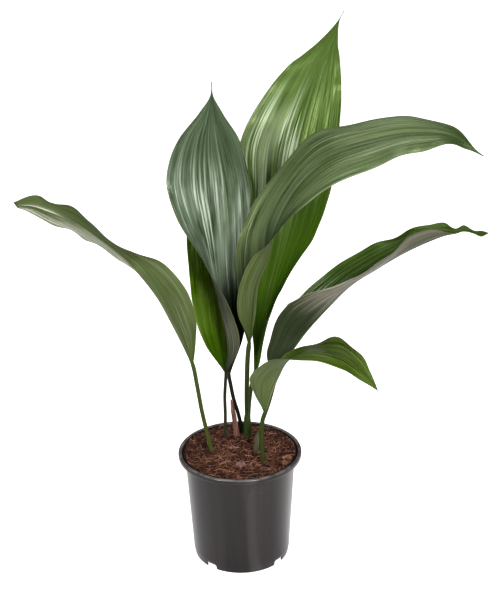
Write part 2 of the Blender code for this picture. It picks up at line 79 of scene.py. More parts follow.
lens = bpy.data.cameras.new("camera")
lens.lens = LENS
lens.sensor_width = SENSOR
camera = into_scene("camera", lens)
camera.matrix_world = (Matrix.Translation(CAMERA_AT) @ turn(-PAN, "Z")
                       @ turn(90 - TILT_DOWN, "X") @ turn(ROLL, "Z"))
bpy.context.scene.camera = camera
print("camera looks down", TILT_DOWN, "degrees")

# %% [markdown]
# ## Three helpers for materials
# Every finish here is made of shader nodes, so that it has detail at any distance and needs no
# image. Wired one by one, each node takes several lines. So one helper adds a node and fills or
# links its inputs, one does sums, and one starts a material. The studio floor needs them first.

# %% Add a node, do a sum, start a material
def add_node(tree, kind, inputs=(), **settings):
    """Add a node; inputs is a list of (socket name or number, value or output socket)."""
    node = tree.nodes.new("ShaderNode" + kind)
    for key, value in settings.items():
        setattr(node, key, value)
    for key, value in inputs:
        socket = node.inputs[key]
        if isinstance(value, bpy.types.NodeSocket):
            tree.links.new(value, socket)
        else:
            socket.default_value = value
    return node


def maths(tree, operation, a, b=0.0, c=0.0):
    return add_node(tree, "Math", [(0, a), (1, b), (2, c)], operation=operation).outputs[0]


def new_material(name):
    """A new material, its node tree and its Principled shader."""
    material = bpy.data.materials.new(name)
    material.use_nodes = True
    tree = material.node_tree
    return material, tree, tree.nodes["Principled BSDF"]


print("helpers:", add_node.__name__, maths.__name__, new_material.__name__)

# %% [markdown]
# ## The studio
# A white sweep and large soft lamps give the pale, almost shadowless look of a plant
# catalogue. A world of one white would do it too, but glossy leaves would mirror it everywhere
# and turn hazy. So the world is dim, and the lamps are the only bright things to mirror: a tall
# one on the right gives long streaks, a lower one on the left opens the shadows, and one above
# lights the arching leaves. The floor glows a little, for the camera and for mirror images only,
# which hides shadows and keeps it white far behind the plant. The pot's steep wall mirrors just
# the floor round its foot, so there the glow comes in wedges, as pools of lamp light would lie,
# and each wedge shows as a soft upright band on the plastic.

# %% Studio floor
FLOOR_SIZE = 24.0           # m
FLOOR_WHITE = (0.72, 0.72, 0.72, 1)
FLOOR_GLOW = 0.85
GLOW_WEDGES = (             # share of a turn from -X over -Y, glow; it runs from 0 to 1
    (0.0, 0.40), (0.10, 0.38), (0.17, 0.38), (0.20, 0.32), (0.272, 0.32),
    (0.285, 0.95), (0.315, 0.95), (0.332, 0.45), (0.42, 0.46), (0.50, 0.70),
    (0.58, 0.95), (0.66, 0.45), (1.0, 0.40),
)


def glow_wedges(tree):
    """How strongly mirror images show the floor, by direction from the pot's foot."""
    place = add_node(tree, "TexCoord").outputs["Object"]
    round_foot = add_node(tree, "TexGradient", [(0, place)], gradient_type="RADIAL")
    wedges = add_node(tree, "ValToRGB", [(0, round_foot.outputs["Fac"])])
    stops = wedges.color_ramp.elements
    for position, _ in GLOW_WEDGES[1:-1]:
        stops.new(position)
    for stop, (_, glow) in zip(stops, GLOW_WEDGES):
        stop.color = (glow, glow, glow, 1)
    return wedges.outputs["Color"]


def studio_floor():
    bm = bmesh.new()
    bmesh.ops.create_grid(bm, x_segments=1, y_segments=1, size=FLOOR_SIZE / 2)
    mesh = bpy.data.meshes.new("studio_floor")
    bm.to_mesh(mesh)
    bm.free()
    floor = into_scene("studio_floor", mesh)
    paint, tree, shader = new_material("studio_white")
    shader.inputs["Base Color"].default_value = FLOOR_WHITE
    shader.inputs["Roughness"].default_value = 0.9
    shader.inputs["Specular IOR Level"].default_value = 0.1
    shader.inputs["Emission Color"].default_value = (1, 1, 1, 1)
    ray = add_node(tree, "LightPath").outputs
    mirrored = maths(tree, "MULTIPLY", ray["Is Glossy Ray"], glow_wedges(tree))
    glow = maths(tree, "MULTIPLY_ADD", ray["Is Camera Ray"], FLOOR_GLOW, mirrored)
    tree.links.new(glow, shader.inputs["Emission Strength"])
    mesh.materials.append(paint)
    return floor


print("floor:", [round(side, 1) for side in studio_floor().dimensions], "m")

# %% World and lamps
WORLD_LIGHT = 0.08
LAMPS = {                   # place, aim, size (m), power (W), colour
    "key_front_right": ((1.25, -2.6, 1.9), (0, 0, 0.35), (0.8, 1.8), 88, (1.0, 0.995, 0.98)),
    "fill_front_left": ((-2.0, -2.4, 1.2), (0, 0, 0.3), (0.6, 1.8), 52, (0.98, 0.99, 1.0)),
    "top": ((-0.2, 0.4, 2.6), (0, 0, 0.2), (1.5, 1.3), 24, (1.0, 1.0, 1.0)),
}


def lamp(name, place, aim, size, power, colour):
    """A rectangular lamp at a place, turned so that it shines at its aim."""
    data = bpy.data.lights.new(name, "AREA")
    data.shape = "RECTANGLE"
    data.size, data.size_y = size
    data.energy = power
    data.color = colour
    made = into_scene(name, data)
    made.location = place
    made.rotation_euler = (Vector(aim) - Vector(place)).to_track_quat("-Z", "Y").to_euler()


def dim_world():
    """A world that lights weakly and looks white to the camera."""
    world = bpy.data.worlds.new("studio_world")
    bpy.context.scene.world = world
    world.use_nodes = True
    tree = world.node_tree
    back = tree.nodes["Background"]
    back.inputs["Color"].default_value = (1.0, 1.0, 1.0, 1)
    seen = add_node(tree, "LightPath").outputs["Is Camera Ray"]
    strength = add_node(tree, "MapRange", [("Value", seen), ("To Min", WORLD_LIGHT),
                                           ("To Max", 1.0)])
    tree.links.new(strength.outputs[0], back.inputs["Strength"])


dim_world()
for name, facts in LAMPS.items():
    lamp(name, *facts)
bpy.context.scene.view_settings.view_transform = "Standard"
bpy.context.scene.view_settings.look = "Medium High Contrast"
print("lamps:", list(LAMPS))

# %% [markdown]
# ## Curves and lofts
# A leaf is a surface swept along its midrib. A cubic Hermite curve goes through every given
# point, and its slopes come from the neighbouring points, so a few cross sections
# give one smooth leaf. A NURBS surface could do it too, but it wouldn't pass through the points.

# %% Helpers for smooth curves
def smooth_through(knots, values, at):
    """Values at `at`, on a smooth curve through `values` at the knots."""
    values = np.asarray(values, float)
    slopes = np.gradient(values, knots, axis=0)
    i = np.clip(np.searchsorted(knots, at, side="right") - 1, 0, len(knots) - 2)
    span = (knots[i + 1] - knots[i])[:, None]
    t = (at - knots[i])[:, None] / span
    start = (1 + 2 * t) * (1 - t) ** 2 * values[i] + t * (1 - t) ** 2 * span * slopes[i]
    end = t * t * (3 - 2 * t) * values[i + 1] + t * t * (t - 1) * span * slopes[i + 1]
    return start + end


def lengths_along(points):
    """How far along its route each point lies."""
    steps = np.linalg.norm(np.diff(np.asarray(points, float), axis=0), axis=1)
    return np.concatenate([[0.0], np.cumsum(steps)])


def unit(vectors):
    """The same directions, one long."""
    vectors = np.asarray(vectors, float)
    size = np.linalg.norm(vectors, axis=-1, keepdims=True)
    return vectors / np.maximum(size, 1e-9)


def ease(low, high, x):
    """0 below low, 1 above high, and an S curve between."""
    t = np.clip((np.asarray(x, float) - low) / (high - low), 0, 1)
    return t * t * (3 - 2 * t)


print("an S curve at its quarters:", ease(0, 4, [1, 2, 3]).round(2).tolist())

# %% [markdown]
# ## The guide table of the leaves
# Each leaf has points up the middle of its stalk, then cross sections of its blade: the
# midrib's point, the left and right margins measured from it, and how far each half bows
# towards the upper side, all in millimetres. They are the same points as the CAD's, so the
# fine leaf lies where the plain one does. A leaf could be sculpted instead, but then nobody
# could read its sizes or correct a single one.

# %% Leaf guides
LEAVES = {
    "leaf_left_arching": {
        "stalk_width": 4.6,
        "stalk": [(-27, 5, 99.5), (-31, 4, 122), (-37, 2, 153), (-42, 0, 182), (-46, -2, 213)],
        "blade": [
            ((-51, -4, 244), (2, 0, 1), (-1, 2, -1), 0, 0),
            ((-57, -6, 260), (11, -2, 8), (4, 18, -3), -1, -1),
            ((-71, -10, 295), (26, -6, 9), (10, 32, -2), -3, -3),
            ((-84, -12, 324), (29, -6, 15), (8, 40, -7), -4, -4),
            ((-98, -14, 347), (20, 2, 19), (3, 44, -6), -4, -4),
            ((-117, -14, 371), (7, 28, -4), (-5, 38, -18), -2, -2),
            ((-142, -12, 393), (1, 34, -9), (-9, 34, -18), -2, -2),
            ((-169, -8, 413), (2, 26, 1), (-7, 26, -21), -2, -2),
            ((-195, -4, 426), (2, 14, 5), (-7, 16, -20), -1, -1),
            ((-214, -2, 431), (1, 4, 9), (-5, 6, -10), 0, 0),
            ((-231.5, 0, 430), (-2.1, 0, 3.2), (2.1, 0, -3.2), 0, 0),
        ],
    },
    "leaf_front_upright": {
        "stalk_width": 4.4,
        "stalk": [(5, 46, 99.5), (3, 44, 130), (-1, 44, 153), (-6, 43, 173), (-9, 43, 191)],
        "blade": [
            ((-11, 43, 205), (-2, -1, 1), (2, -1, 1), 0, 0),
            ((-8, 46, 236), (9, -18, 7), (12, -6, 7), -8, -2),
            ((-6, 46, 298), (-6, -24, 8), (16, -8, 10), -12, -4),
            ((-8, 46, 342), (-27, -26, 11), (24, -10, 10), -10, -5),
            ((-9, 47, 385), (-50, -21, 8), (28, -7, 5), -5, -4),
            ((-12, 50, 436), (-61, -14, 5), (29, -7, 4), 0, -2),
            ((-18, 54, 480), (-41, -8, 4), (23, -8, 5), 2, 1),
            ((-21, 58, 508), (-15, -4, 3), (10, -4, 3), 1, 1),
            ((-22, 60, 530), (-1, 0, 0), (1, 0, 0), 0, 0),
            ((-22, 61, 543), (-0.4, 0, 0), (0.4, 0, 0), 0, 0),
        ],
    },
    "leaf_back_tall": {
        "stalk_width": 4.8,
        "stalk": [(12, 47, 99.5), (11, 47, 128), (11, 48, 152), (13, 50, 173), (16, 52, 190)],
        "blade": [
            ((20, 54, 204), (-2, 0, 0), (2, 0, 0), 0, 0),
            ((27, 62, 251), (-10, -12, 3), (5, -12, 8), -3, -3),
            ((37, 70, 297), (-25, -12, 3), (14, -12, 7), -4, -4),
            ((51, 80, 353), (-42, -4, -4), (37, -8, 7), -3, -3),
            ((63, 92, 408), (-56, -2, -5), (45, -6, 4), 0, 0),
            ((74, 102, 458), (-67, -6, 4), (42, -6, 6), 2, 2),
            ((88, 112, 506), (-56, -6, 4), (32, -6, 7), 2, 2),
            ((101, 120, 547), (-35, -4, 1), (18, -4, 0), 1, 1),
            ((112, 125, 572), (-19, -1, -6), (5, -1, -4), 0, 0),
            ((118, 128, 591), (-1, 0, -1), (1, 0, 0), 0, 0),
            ((124, 130, 601), (-0.4, 0, 0), (0.4, 0, 0), 0, 0),
        ],
    },
    "leaf_right_arching": {
        "stalk_width": 5.4,
        "stalk": [(10, 38, 99.5), (10, 38, 125), (9, 34, 169), (10, 30, 213), (11, 27, 234)],
        "blade": [
            ((13, 25, 253), (-2, 0, 0), (2, 0, 0), 0, 0),
            ((19, 16, 291), (-15, 13, -8), (-18, -10, 5), -7, -2),
            ((23, 6, 331), (-22, 22, -4), (-19, -10, 5), -9, -3),
            ((35, -2, 368), (-35, 27, -8), (-16, -12, 4), -7, -3),
            ((39, 2, 400), (-32, 22, -11), (0, -26, -5), -4, -3),
            ((56, 4, 437), (-31, 27, -15), (10, -34, -8), -2, 0),
            ((88, 0, 475), (-11, 34, 10), (17, -34, -17), 2, 2),
            ((139, -6, 496), (-5, 30, 10), (12, -32, -17), 3, 3),
            ((192, -16, 506), (0, 24, 9), (1, -24, -11), 3, 3),
            ((226, -26, 504), (3, 12, 5), (-1, -12, -7), 1, 1),
            ((245, -34, 493), (2, 0, -1), (-1, 0, -3), 0, 0),
            ((255, -38, 486), (0.3, 0, 0.3), (-0.3, 0, -0.3), 0, 0),
        ],
    },
    "leaf_back_left": {
        "stalk_width": 3.8,
        "stalk": [(-18, 34, 99.5), (-17, 36, 125), (-16, 39, 153), (-16, 42, 179), (-15, 45, 193)],
        "blade": [
            ((-14, 48, 205), (-2, 0, 0), (2, 0, 0), 0, 0),
            ((-14, 52, 237), (-23, -6, 4), (12, -4, 2), -2, -2),
            ((-16, 58, 278), (-33, -6, 6), (19, -6, 0), -2, -2),
            ((-19, 66, 324), (-34, -4, 3), (27, -4, -1), 0, 0),
            ((-23, 72, 370), (-31, -2, 2), (26, -2, -2), 1, 1),
            ((-25, 78, 409), (-21, -2, 3), (18, -2, 0), 1, 1),
            ((-27, 84, 442), (-7, -1, 0), (5, -1, -1), 0, 0),
            ((-29, 86, 457), (-0.4, 0, 0), (0.4, 0, 0), 0, 0),
        ],
    },
    "leaf_right_long": {
        "stalk_width": 4.2,
        "stalk": [(16, 4, 99.5), (18, 6, 119), (25, 10, 156), (34, 14, 182), (38, 16, 196)],
        "blade": [
            ((41.5, 17, 209), (-1, 2, -2), (-1, -2, 2), 0, 0),
            ((47, 16, 229), (-11, 16, 8), (-15, -9, 13), -2, -2),
            ((60, 14, 247), (-13, 28, 10), (-24, -13, 21), -3, -3),
            ((76, 12, 271), (-21, 34, 15), (-29, -16, 30), -3, -3),
            ((97, 10, 297), (-26, 40, -1), (-29, -20, 24), -3, -3),
            ((126, 10, 327), (-24, 38, 0), (-13, -32, 16), -3, -2),
            ((156, 12, 346), (-12, 36, 8), (-7, -38, 18), -2, -2),
            ((184, 16, 361), (-7, 30, 8), (-8, -30, 23), -1, -2),
            ((213, 22, 372), (-2, 16, 12), (-7, -18, 19), 0, -1),
            ((229, 26, 376), (0, 12, 10), (-4, -12, 10), 0, 0),
            ((241, 29, 377), (0, 7, 4), (-2, -8, 5), 0, 0),
            ((249, 30, 379), (0, 6, 5), (0, -5, 1), 0, 0),
            ((260, 30, 376.5), (0, 3, 0.8), (0, -2.5, -0.6), 0, 0),
            ((268, 31, 375), (1, 2, 2.6), (0, -3, -2.6), 0, 0),
            ((276, 32, 375), (0, 0.4, 0.5), (0, -0.4, -0.5), 0, 0),
        ],
    },
    "leaf_front_low": {
        "stalk_width": 5.0,
        "stalk": [(27, -21, 99.5), (26, -22, 124), (25, -20, 146), (25, -17, 165), (26, -16, 176)],
        "blade": [
            ((29, -16, 186), (2, 0, 1), (-2, 0, 1), 0, 0),
            ((34, -20, 208), (0, 12, 3), (-17, -4, 6), -3, -1),
            ((42, -24, 231), (-3, 13, 1), (-29, -12, 10), -4, -2),
            ((53, -28, 254), (-2, 18, 0), (-17, -24, 13), -4, -2),
            ((69, -30, 266), (-1, 26, -7), (-8, -32, 6), -2, 0),
            ((91, -34, 269), (0, 34, -6), (-7, -34, 3), 0, 2),
            ((112, -38, 266), (1, 32, 4), (-6, -28, -3), 0, 2),
            ((131, -46, 254), (2, 16, 7), (-8, -14, -4), 0, 1),
            ((143, -50, 240), (1, 4, 5), (-4, -4, -3), 0, 0),
            ((150, -54, 229), (0.3, 0, -0.3), (-0.3, 0, -0.3), 0, 0),
        ],
    },
}
print("leaves:", list(LEAVES))

# %% [markdown]
# ## Sweeping a leaf
# Between the guide sections the margins, the midrib and the bow of each half are read from
# smooth curves. A living blade is never that plain: it is pleated lengthwise between its main
# veins, and its edges ripple. Both are added as small moves along the surface's normal, from
# sums of sine waves whose phases come from a seeded generator, so every run gives the same
# leaf. A displacement texture could do it, but then the shape would only be in the render.

# %% Leaf surface
STALK_STATIONS = 26
BLADE_STATIONS = 132
HALF_COLUMNS = 28


def leaf_surface(spec):
    """points[station, column] in mm from the left margin to the right, and the share of
    the blade's length at each station, negative down the stalk."""
    stalk = np.array(spec["stalk"], float)
    mid_points = np.vstack([stalk, [row[0] for row in spec["blade"]]])
    left, right = (np.array([row[k] for row in spec["blade"]], float) for k in (1, 2))
    bows = np.array([row[3:5] for row in spec["blade"]], float)
    knots = lengths_along(mid_points)
    blade_knots = knots[len(stalk):]
    foot, tip = blade_knots[0], blade_knots[-1]
    at = np.concatenate([np.linspace(0, foot, STALK_STATIONS, endpoint=False),
                         np.linspace(foot, tip, BLADE_STATIONS)])
    on_blade = np.maximum(at, foot)
    middle = smooth_through(knots, mid_points, at)
    along = unit(np.gradient(middle, at, axis=0))
    halves = [smooth_through(blade_knots, side, on_blade) for side in (left, right)]
    across = right[0] - left[0]
    stalk_side = unit(across - (along @ unit(across))[:, None] * along * np.linalg.norm(across))
    is_stalk = (at < foot)[:, None]
    half_stalk = spec["stalk_width"] / 2
    halves[0] = np.where(is_stalk, -half_stalk * stalk_side, halves[0])
    halves[1] = np.where(is_stalk, half_stalk * stalk_side, halves[1])
    bow = np.where(is_stalk, 0.0, smooth_through(blade_knots, bows, on_blade))
    share = np.linspace(0, 1, HALF_COLUMNS + 1)
    sheets = []
    for side, hand in ((0, 1), (1, -1)):
        out = halves[side]
        up = unit(np.cross(along, out) * hand)
        arch = 4 * bow[:, side, None, None] * (share * (1 - share))[None, :, None]
        sheets.append(middle[:, None] + out[:, None] * share[None, :, None] + arch * up[:, None])
    points = np.concatenate([sheets[0][:, ::-1], sheets[1][:, 1:]], axis=1)
    return points, (at - foot) / (tip - foot), tip - foot


def upper_normals(points):
    """The direction straight up out of the upper side, at every point."""
    return unit(np.cross(np.gradient(points, axis=1), np.gradient(points, axis=0)))


print("one leaf has", 2 * HALF_COLUMNS + 1, "columns and", STALK_STATIONS + BLADE_STATIONS,
      "stations")

# %% [markdown]
# The pleats run parallel to the midrib and crowd together towards the tip, so they are waves
# in the share of the half width. The ripple grows with a high power of the distance from the
# midrib, which keeps the middle of the blade calm and lets only the edge wander. Plain noise
# would be quicker to write, but it lumps the middle of the blade as much as its edge.

# %% Pleats and rippled edges
PLEAT_DEPTH = 0.22          # mm
PLEATS = ((3.1, 1.0), (5.3, 0.7), (8.9, 0.4))       # waves per half of the blade, share of depth
RIPPLES = 4
RIPPLE_WAVELENGTHS = (26, 75)   # mm
EDGE_POWER = 3.5            # how fast the ripple dies away from the edge


def blade_relief(share, length, seed, ripple, pleat):
    """How far (mm) each point of the blade moves along its normal."""
    rng = np.random.default_rng(seed)
    across = np.linspace(-1, 1, 2 * HALF_COLUMNS + 1)[None, :]
    s = share[:, None]
    edge = np.abs(across)
    on_blade = ease(0.0, 0.16, s) * (1 - ease(0.86, 1.0, s))
    pleats = np.zeros(np.broadcast(s, across).shape)
    for count, weight in PLEATS:
        phase = rng.uniform(0, math.tau, 3)
        drift = 0.9 * np.sin(s * rng.uniform(3, 6) + phase[1])
        swell = 0.65 + 0.35 * np.sin(s * rng.uniform(5, 11) + phase[2] + 3 * across)
        side = phase[0] + 0.8 * (across < 0)
        pleats += weight * swell * np.cos(math.tau * count * edge + side + drift)
    pleats *= PLEAT_DEPTH * pleat * ease(0.03, 0.14, edge) * (1 - ease(0.93, 1.0, edge))
    waves = np.zeros_like(pleats)
    for _ in range(RIPPLES):
        wavelength = rng.uniform(*RIPPLE_WAVELENGTHS)
        phase = rng.uniform(0, math.tau, 2)
        angle = math.tau * s * length / wavelength
        waves += np.where(across < 0, np.sin(angle + phase[0]), np.sin(angle + phase[1]))
    waves *= ripple / 2 * edge ** EDGE_POWER * (0.7 + 1.3 * ease(0.45, 0.95, s))
    return (pleats + waves) * on_blade


print("pleats per half:", [count for count, _ in PLEATS], "deepest", PLEAT_DEPTH, "mm")

# %% [markdown]
# ## From surface to solid leaf
# The surface is a sheet. A Solidify modifier would give it one thickness everywhere, but a
# leaf is thin at the edge, has a raised rib under its middle, and ends in a grooved stalk. So
# the upper and lower skins are offset by their own amounts and joined into closed rings. Two
# numbers are stored at each point, `across` and `along`, so that veins can follow the leaf.

# %% Leaf solid
LAMINA = 0.5                # mm
EDGE = 0.3
RIB_RAISED = 1.3
RIB_SHARE = 0.045           # of the half width
GROOVE_DEPTH = 0.45         # mm, down the stalk's upper side
GROOVE_SHARE = 0.35
SHARP_FOLD = 70             # degrees, edges sharper than this aren't smoothed


def skin_offsets(spec, share):
    """Upper and lower distance (mm) from the middle surface."""
    across = np.linspace(-1, 1, 2 * HALF_COLUMNS + 1)[None, :]
    s = share[:, None]
    edge = np.abs(across)
    round_stalk = spec["stalk_width"] / 2 * np.sqrt(np.clip(1 - edge ** 2, 0, 1))
    groove = GROOVE_DEPTH * np.exp(-(edge / GROOVE_SHARE) ** 2)
    sheet = EDGE / 2 + (LAMINA - EDGE) / 2 * (1 - ease(0.9, 1.0, edge))
    rib = RIB_RAISED * np.exp(-(edge / RIB_SHARE) ** 2) * (1 - 0.75 * np.clip(s, 0, 1))
    flat = ease(-0.03, 0.09, s)
    end = np.clip((1 - s) / 0.04, 0.3, 1)
    upper = ((round_stalk - groove * (round_stalk > 0.5)) * (1 - flat) + sheet * flat) * end
    lower = (round_stalk * (1 - flat) + (sheet + rib) * flat) * end
    return upper, lower


def ring_skin(points, upper_points, lower_points):
    """Closed rings: left margin, upper side, right margin, lower side back."""
    return np.concatenate([points[:, :1], upper_points[:, 1:-1], points[:, -1:],
                           lower_points[:, -2:0:-1]], axis=1)


def ring_faces(stations, around):
    """Quads between neighbouring rings, then a cap at each end."""
    index = np.arange(stations * around).reshape(stations, around)
    beside = np.roll(index, -1, axis=1)
    quads = np.stack([index[:-1], beside[:-1], beside[1:], index[1:]], axis=-1)
    return quads.reshape(-1, 4).tolist() + [index[0][::-1].tolist(), index[-1].tolist()]


def mesh_is_inside_out(mesh):
    bm = bmesh.new()
    bm.from_mesh(mesh)
    volume = bm.calc_volume(signed=True)
    bm.free()
    return volume < 0


print("a blade is", LAMINA, "mm thick and", LAMINA + RIB_RAISED, "mm at its rib")

# %% One leaf, from its guides
def leaf_piece(name, spec, looks):
    """The closed mesh of one leaf. Its faces use material 0 above and material 1 below."""
    points, share, length = leaf_surface(spec)
    relief = blade_relief(share, length, looks["seed"], looks["ripple"], looks["pleat"])
    points = points + upper_normals(points) * relief[:, :, None]
    up = upper_normals(points)
    upper, lower = skin_offsets(spec, share)
    rings = ring_skin(points, points + up * upper[:, :, None], points - up * lower[:, :, None])
    stations, around = rings.shape[:2]
    mesh = bpy.data.meshes.new(name)
    mesh.from_pydata((rings.reshape(-1, 3) * MM).tolist(), [], ring_faces(stations, around))
    column = np.concatenate([np.arange(2 * HALF_COLUMNS + 1),
                             np.arange(2 * HALF_COLUMNS - 1, 0, -1)])
    across = np.tile(column / HALF_COLUMNS - 1, stations)
    for label, values in (("across", across), ("along", np.repeat(share, around))):
        mesh.attributes.new(label, "FLOAT", "POINT").data.foreach_set("value", values)
    under = np.tile(np.arange(around) >= 2 * HALF_COLUMNS, stations - 1)
    mesh.polygons.foreach_set("material_index", under.astype(int).tolist() + [1, 1])
    if mesh_is_inside_out(mesh):
        mesh.flip_normals()
    mesh.shade_smooth()
    mesh.set_sharp_from_angle(angle=math.radians(SHARP_FOLD))
    return into_scene(name, mesh), length


print("rings round a leaf:", STALK_STATIONS + BLADE_STATIONS, "of", 4 * HALF_COLUMNS, "points")

# %% [markdown]
# ## More helpers for shader nodes
# The leaves need masks and mixed colours, and effects that several materials share. A mask is a
# value from 0 to 1 over the surface. Maps with a smooth step make one from noise, and a node
# group keeps a shared effect in one place, where copies would drift apart.

# %% Masks, colours and groups
def mix_colours(tree, mask, first, second):
    """Go from the first colour to the second by the mask; each is an (r, g, b) or a socket."""
    first, second = (colour if isinstance(colour, bpy.types.NodeSocket) else (*colour, 1)
                     for colour in (first, second))
    return add_node(tree, "Mix", [(0, mask), (6, first), (7, second)], data_type="RGBA").outputs[2]


def remap(tree, value, low, high, to_low=0.0, to_high=1.0):
    """A smooth step from to_low at low to to_high at high."""
    node = add_node(tree, "MapRange", [(0, value), (1, low), (2, high), (3, to_low), (4, to_high)],
                    interpolation_type="SMOOTHSTEP")
    return node.outputs[0]


def part(tree, mask, share):
    """The mask, weakened to a share of itself."""
    return maths(tree, "MULTIPLY", mask, share)


def noise_mask(tree, vector, scale, detail=3.0, roughness=0.55):
    node = add_node(tree, "TexNoise", [("Vector", vector), ("Scale", scale), ("Detail", detail),
                                       ("Roughness", roughness)])
    return node.outputs[0]


def new_group(name, inputs, outputs):
    """An empty shader node group. An input whose default is None is a vector; all others,
    and the outputs, are single values."""
    group = bpy.data.node_groups.new(name, "ShaderNodeTree")
    for label, default in inputs:
        kind = "NodeSocketVector" if default is None else "NodeSocketFloat"
        socket = group.interface.new_socket(label, in_out="INPUT", socket_type=kind)
        if default is not None:
            socket.default_value = default
    for label in outputs:
        group.interface.new_socket(label, in_out="OUTPUT", socket_type="NodeSocketFloat")
    return group, group.nodes.new("NodeGroupInput"), group.nodes.new("NodeGroupOutput")


def give_out(group, out, values):
    """Link each named value to the group's output of that name."""
    for label, value in values.items():
        group.links.new(value, out.inputs[label])


print("more helpers:", mix_colours.__name__, remap.__name__, noise_mask.__name__,
      new_group.__name__)

# %% [markdown]
# ## Veins, as a shared node group
# The veins of this plant run side by side from the stalk to the tip. Noise read in leaf
# coordinates, squeezed hard across the leaf and hardly changing along it, gives fine uneven
# lines. The same noise, less squeezed, gives the broad light and dark bands between pleats,
# which the colour uses as painted light and shade of the pleats. Short bright streaks of painted
# glare come in groups, so that a coarse noise decides where the fine ones may show. Both skins
# use it, so it is one group.

# %% Group: leaf veins
def make_vein_group():
    group, given, out = new_group(
        "leaf_veins", [("Across", 0.0), ("Along", 0.0), ("Seed", 0.0), ("Lines", 60.0)],
        ["Veins", "Bands", "Patches", "Streaks", "Creases", "Height"])
    across, along, seed, lines = (given.outputs[k] for k in range(4))

    def leaf_noise(count, stretch, detail, shift):
        """Noise with about `count` lines across a half blade and `stretch` along it."""
        x = maths(group, "MULTIPLY", across, count)
        y = maths(group, "MULTIPLY", along, stretch)
        z = maths(group, "ADD", seed, shift)
        vector = add_node(group, "CombineXYZ", [(0, x), (1, y), (2, z)]).outputs[0]
        return noise_mask(group, vector, 1.0, detail)

    fine = leaf_noise(lines, 3.0, 2.0, 0.0)
    folds = leaf_noise(13.0, 1.1, 2.0, 3.0)
    spread = remap(group, leaf_noise(3.4, 1.8, 1.0, 17.0), 0.44, 0.58)
    dashes = remap(group, leaf_noise(26.0, 3.0, 3.0, 23.0), 0.46, 0.60)
    give_out(group, out, {
        "Veins": remap(group, fine, 0.44, 0.60),
        "Bands": remap(group, folds, 0.38, 0.60),
        "Patches": remap(group, leaf_noise(2.0, 3.5, 3.0, 11.0), 0.36, 0.62),
        "Streaks": maths(group, "MULTIPLY", dashes, spread),
        "Creases": remap(group, leaf_noise(22.0, 2.2, 2.0, 31.0), 0.52, 0.66),
        "Height": maths(group, "MULTIPLY_ADD", fine, 0.2, folds),
    })
    return group


vein_group = make_vein_group()
print("group leaf_veins gives", [s.name for s in vein_group.interface.items_tree
                                 if s.in_out == "OUTPUT"])

# %% [markdown]
# ## The leaf's two skins
# The upper skin is dark and waxy: smooth enough to mirror the lamps in long streaks, which
# break up where the veins change the roughness. The underside is paler, greyer and matt, with
# a midrib that shows more. A leaf isn't one green either: the part next to the stalk is younger,
# deeper and cleaner, and on the front upright leaf that foot is near black, painted shade.
# Silvery streaks and patches of painted glare lie over the rest, and painted shade darkens the
# tips. Both skins fade into the green of the stalk, are pale along the midrib, and dry to brown
# at the very tip. Painted masks could do this too, but masks worked out from `across` and
# `along` stay sharp at any distance.

# %% Colour of the blade
CREASE_SHADE = 0.45         # of the dark tone


def blade_colour(tree, tones, lines):
    """Bands, painted light and shade of the pleats, and patches mix the dark and the light tone;
    veins lie over it, and the creases get painted shade.
    """
    bands, patches = part(tree, lines["Bands"], 0.6), part(tree, lines["Patches"], 0.4)
    colour = mix_colours(tree, maths(tree, "ADD", bands, patches), tones["dark"], tones["light"])
    colour = mix_colours(tree, part(tree, lines["Veins"], 0.42), colour, tones["vein"])
    shadow = [CREASE_SHADE * value for value in tones["dark"]]
    return mix_colours(tree, part(tree, lines["Creases"], 0.6), colour, shadow)


def painted_glare_mask(tree, tones, across, along, lines):
    """Streaks and patches of painted glare, strong inside the zone of the tones and faint outside.
    """
    start, end, half = tones["zone"]
    inside = maths(tree, "MULTIPLY", remap(tree, along, start - 0.12, start + 0.08),
                   remap(tree, along, end + 0.12, end - 0.08))
    if half:
        inside = maths(tree, "MULTIPLY", inside, remap(tree, across, -0.06 * half, 0.12 * half))
    silvery = maths(tree, "MULTIPLY_ADD", lines["Streaks"], 0.75,
                    part(tree, lines["Patches"], 0.2))
    painted_glare = maths(tree, "MULTIPLY", silvery, maths(tree, "MULTIPLY_ADD", inside, 0.93, 0.07))
    return part(tree, painted_glare, tones["painted_glare"])


def foot_mask(tree, tones, across, along, lines):
    """1 near the stalk. Its end leans across the blade and frays along the bands."""
    frayed = maths(tree, "MULTIPLY_ADD", lines["Bands"], 0.06, along)
    from_stalk = maths(tree, "MULTIPLY_ADD", across, -tones["lean"], frayed)
    return remap(tree, from_stalk, tones["foot_end"] + 0.10, tones["foot_end"] - 0.06)


print("creases are", CREASE_SHADE, "as bright as the dark tone")

# %% Edges, stalk and tip
TIP_BROWN = (0.075, 0.055, 0.035)
DRY_EDGE = (0.22, 0.19, 0.08)
RIB_SHOWS = 0.22
RIB_SHOWS_UNDER = 0.55


def edges_and_ends(tree, colour, tones, stalk, across, along, is_under):
    """Over the blade's colour: a pale midrib, a dry edge, the stalk's greens, a brown tip."""
    edge = maths(tree, "ABSOLUTE", across)
    midrib = part(tree, remap(tree, edge, 0.045, 0.0), RIB_SHOWS_UNDER if is_under else RIB_SHOWS)
    colour = mix_colours(tree, midrib, colour, tones["rib"])
    colour = mix_colours(tree, part(tree, remap(tree, edge, 0.975, 1.0), 0.5), colour, DRY_EDGE)
    stalk_top, stalk_foot = stalk
    colour = mix_colours(tree, remap(tree, along, 0.06, -0.03), colour, stalk_top)
    colour = mix_colours(tree, remap(tree, along, -0.15, -1.1), colour, stalk_foot)
    return mix_colours(tree, remap(tree, along, 0.986, 0.997), colour, TIP_BROWN)


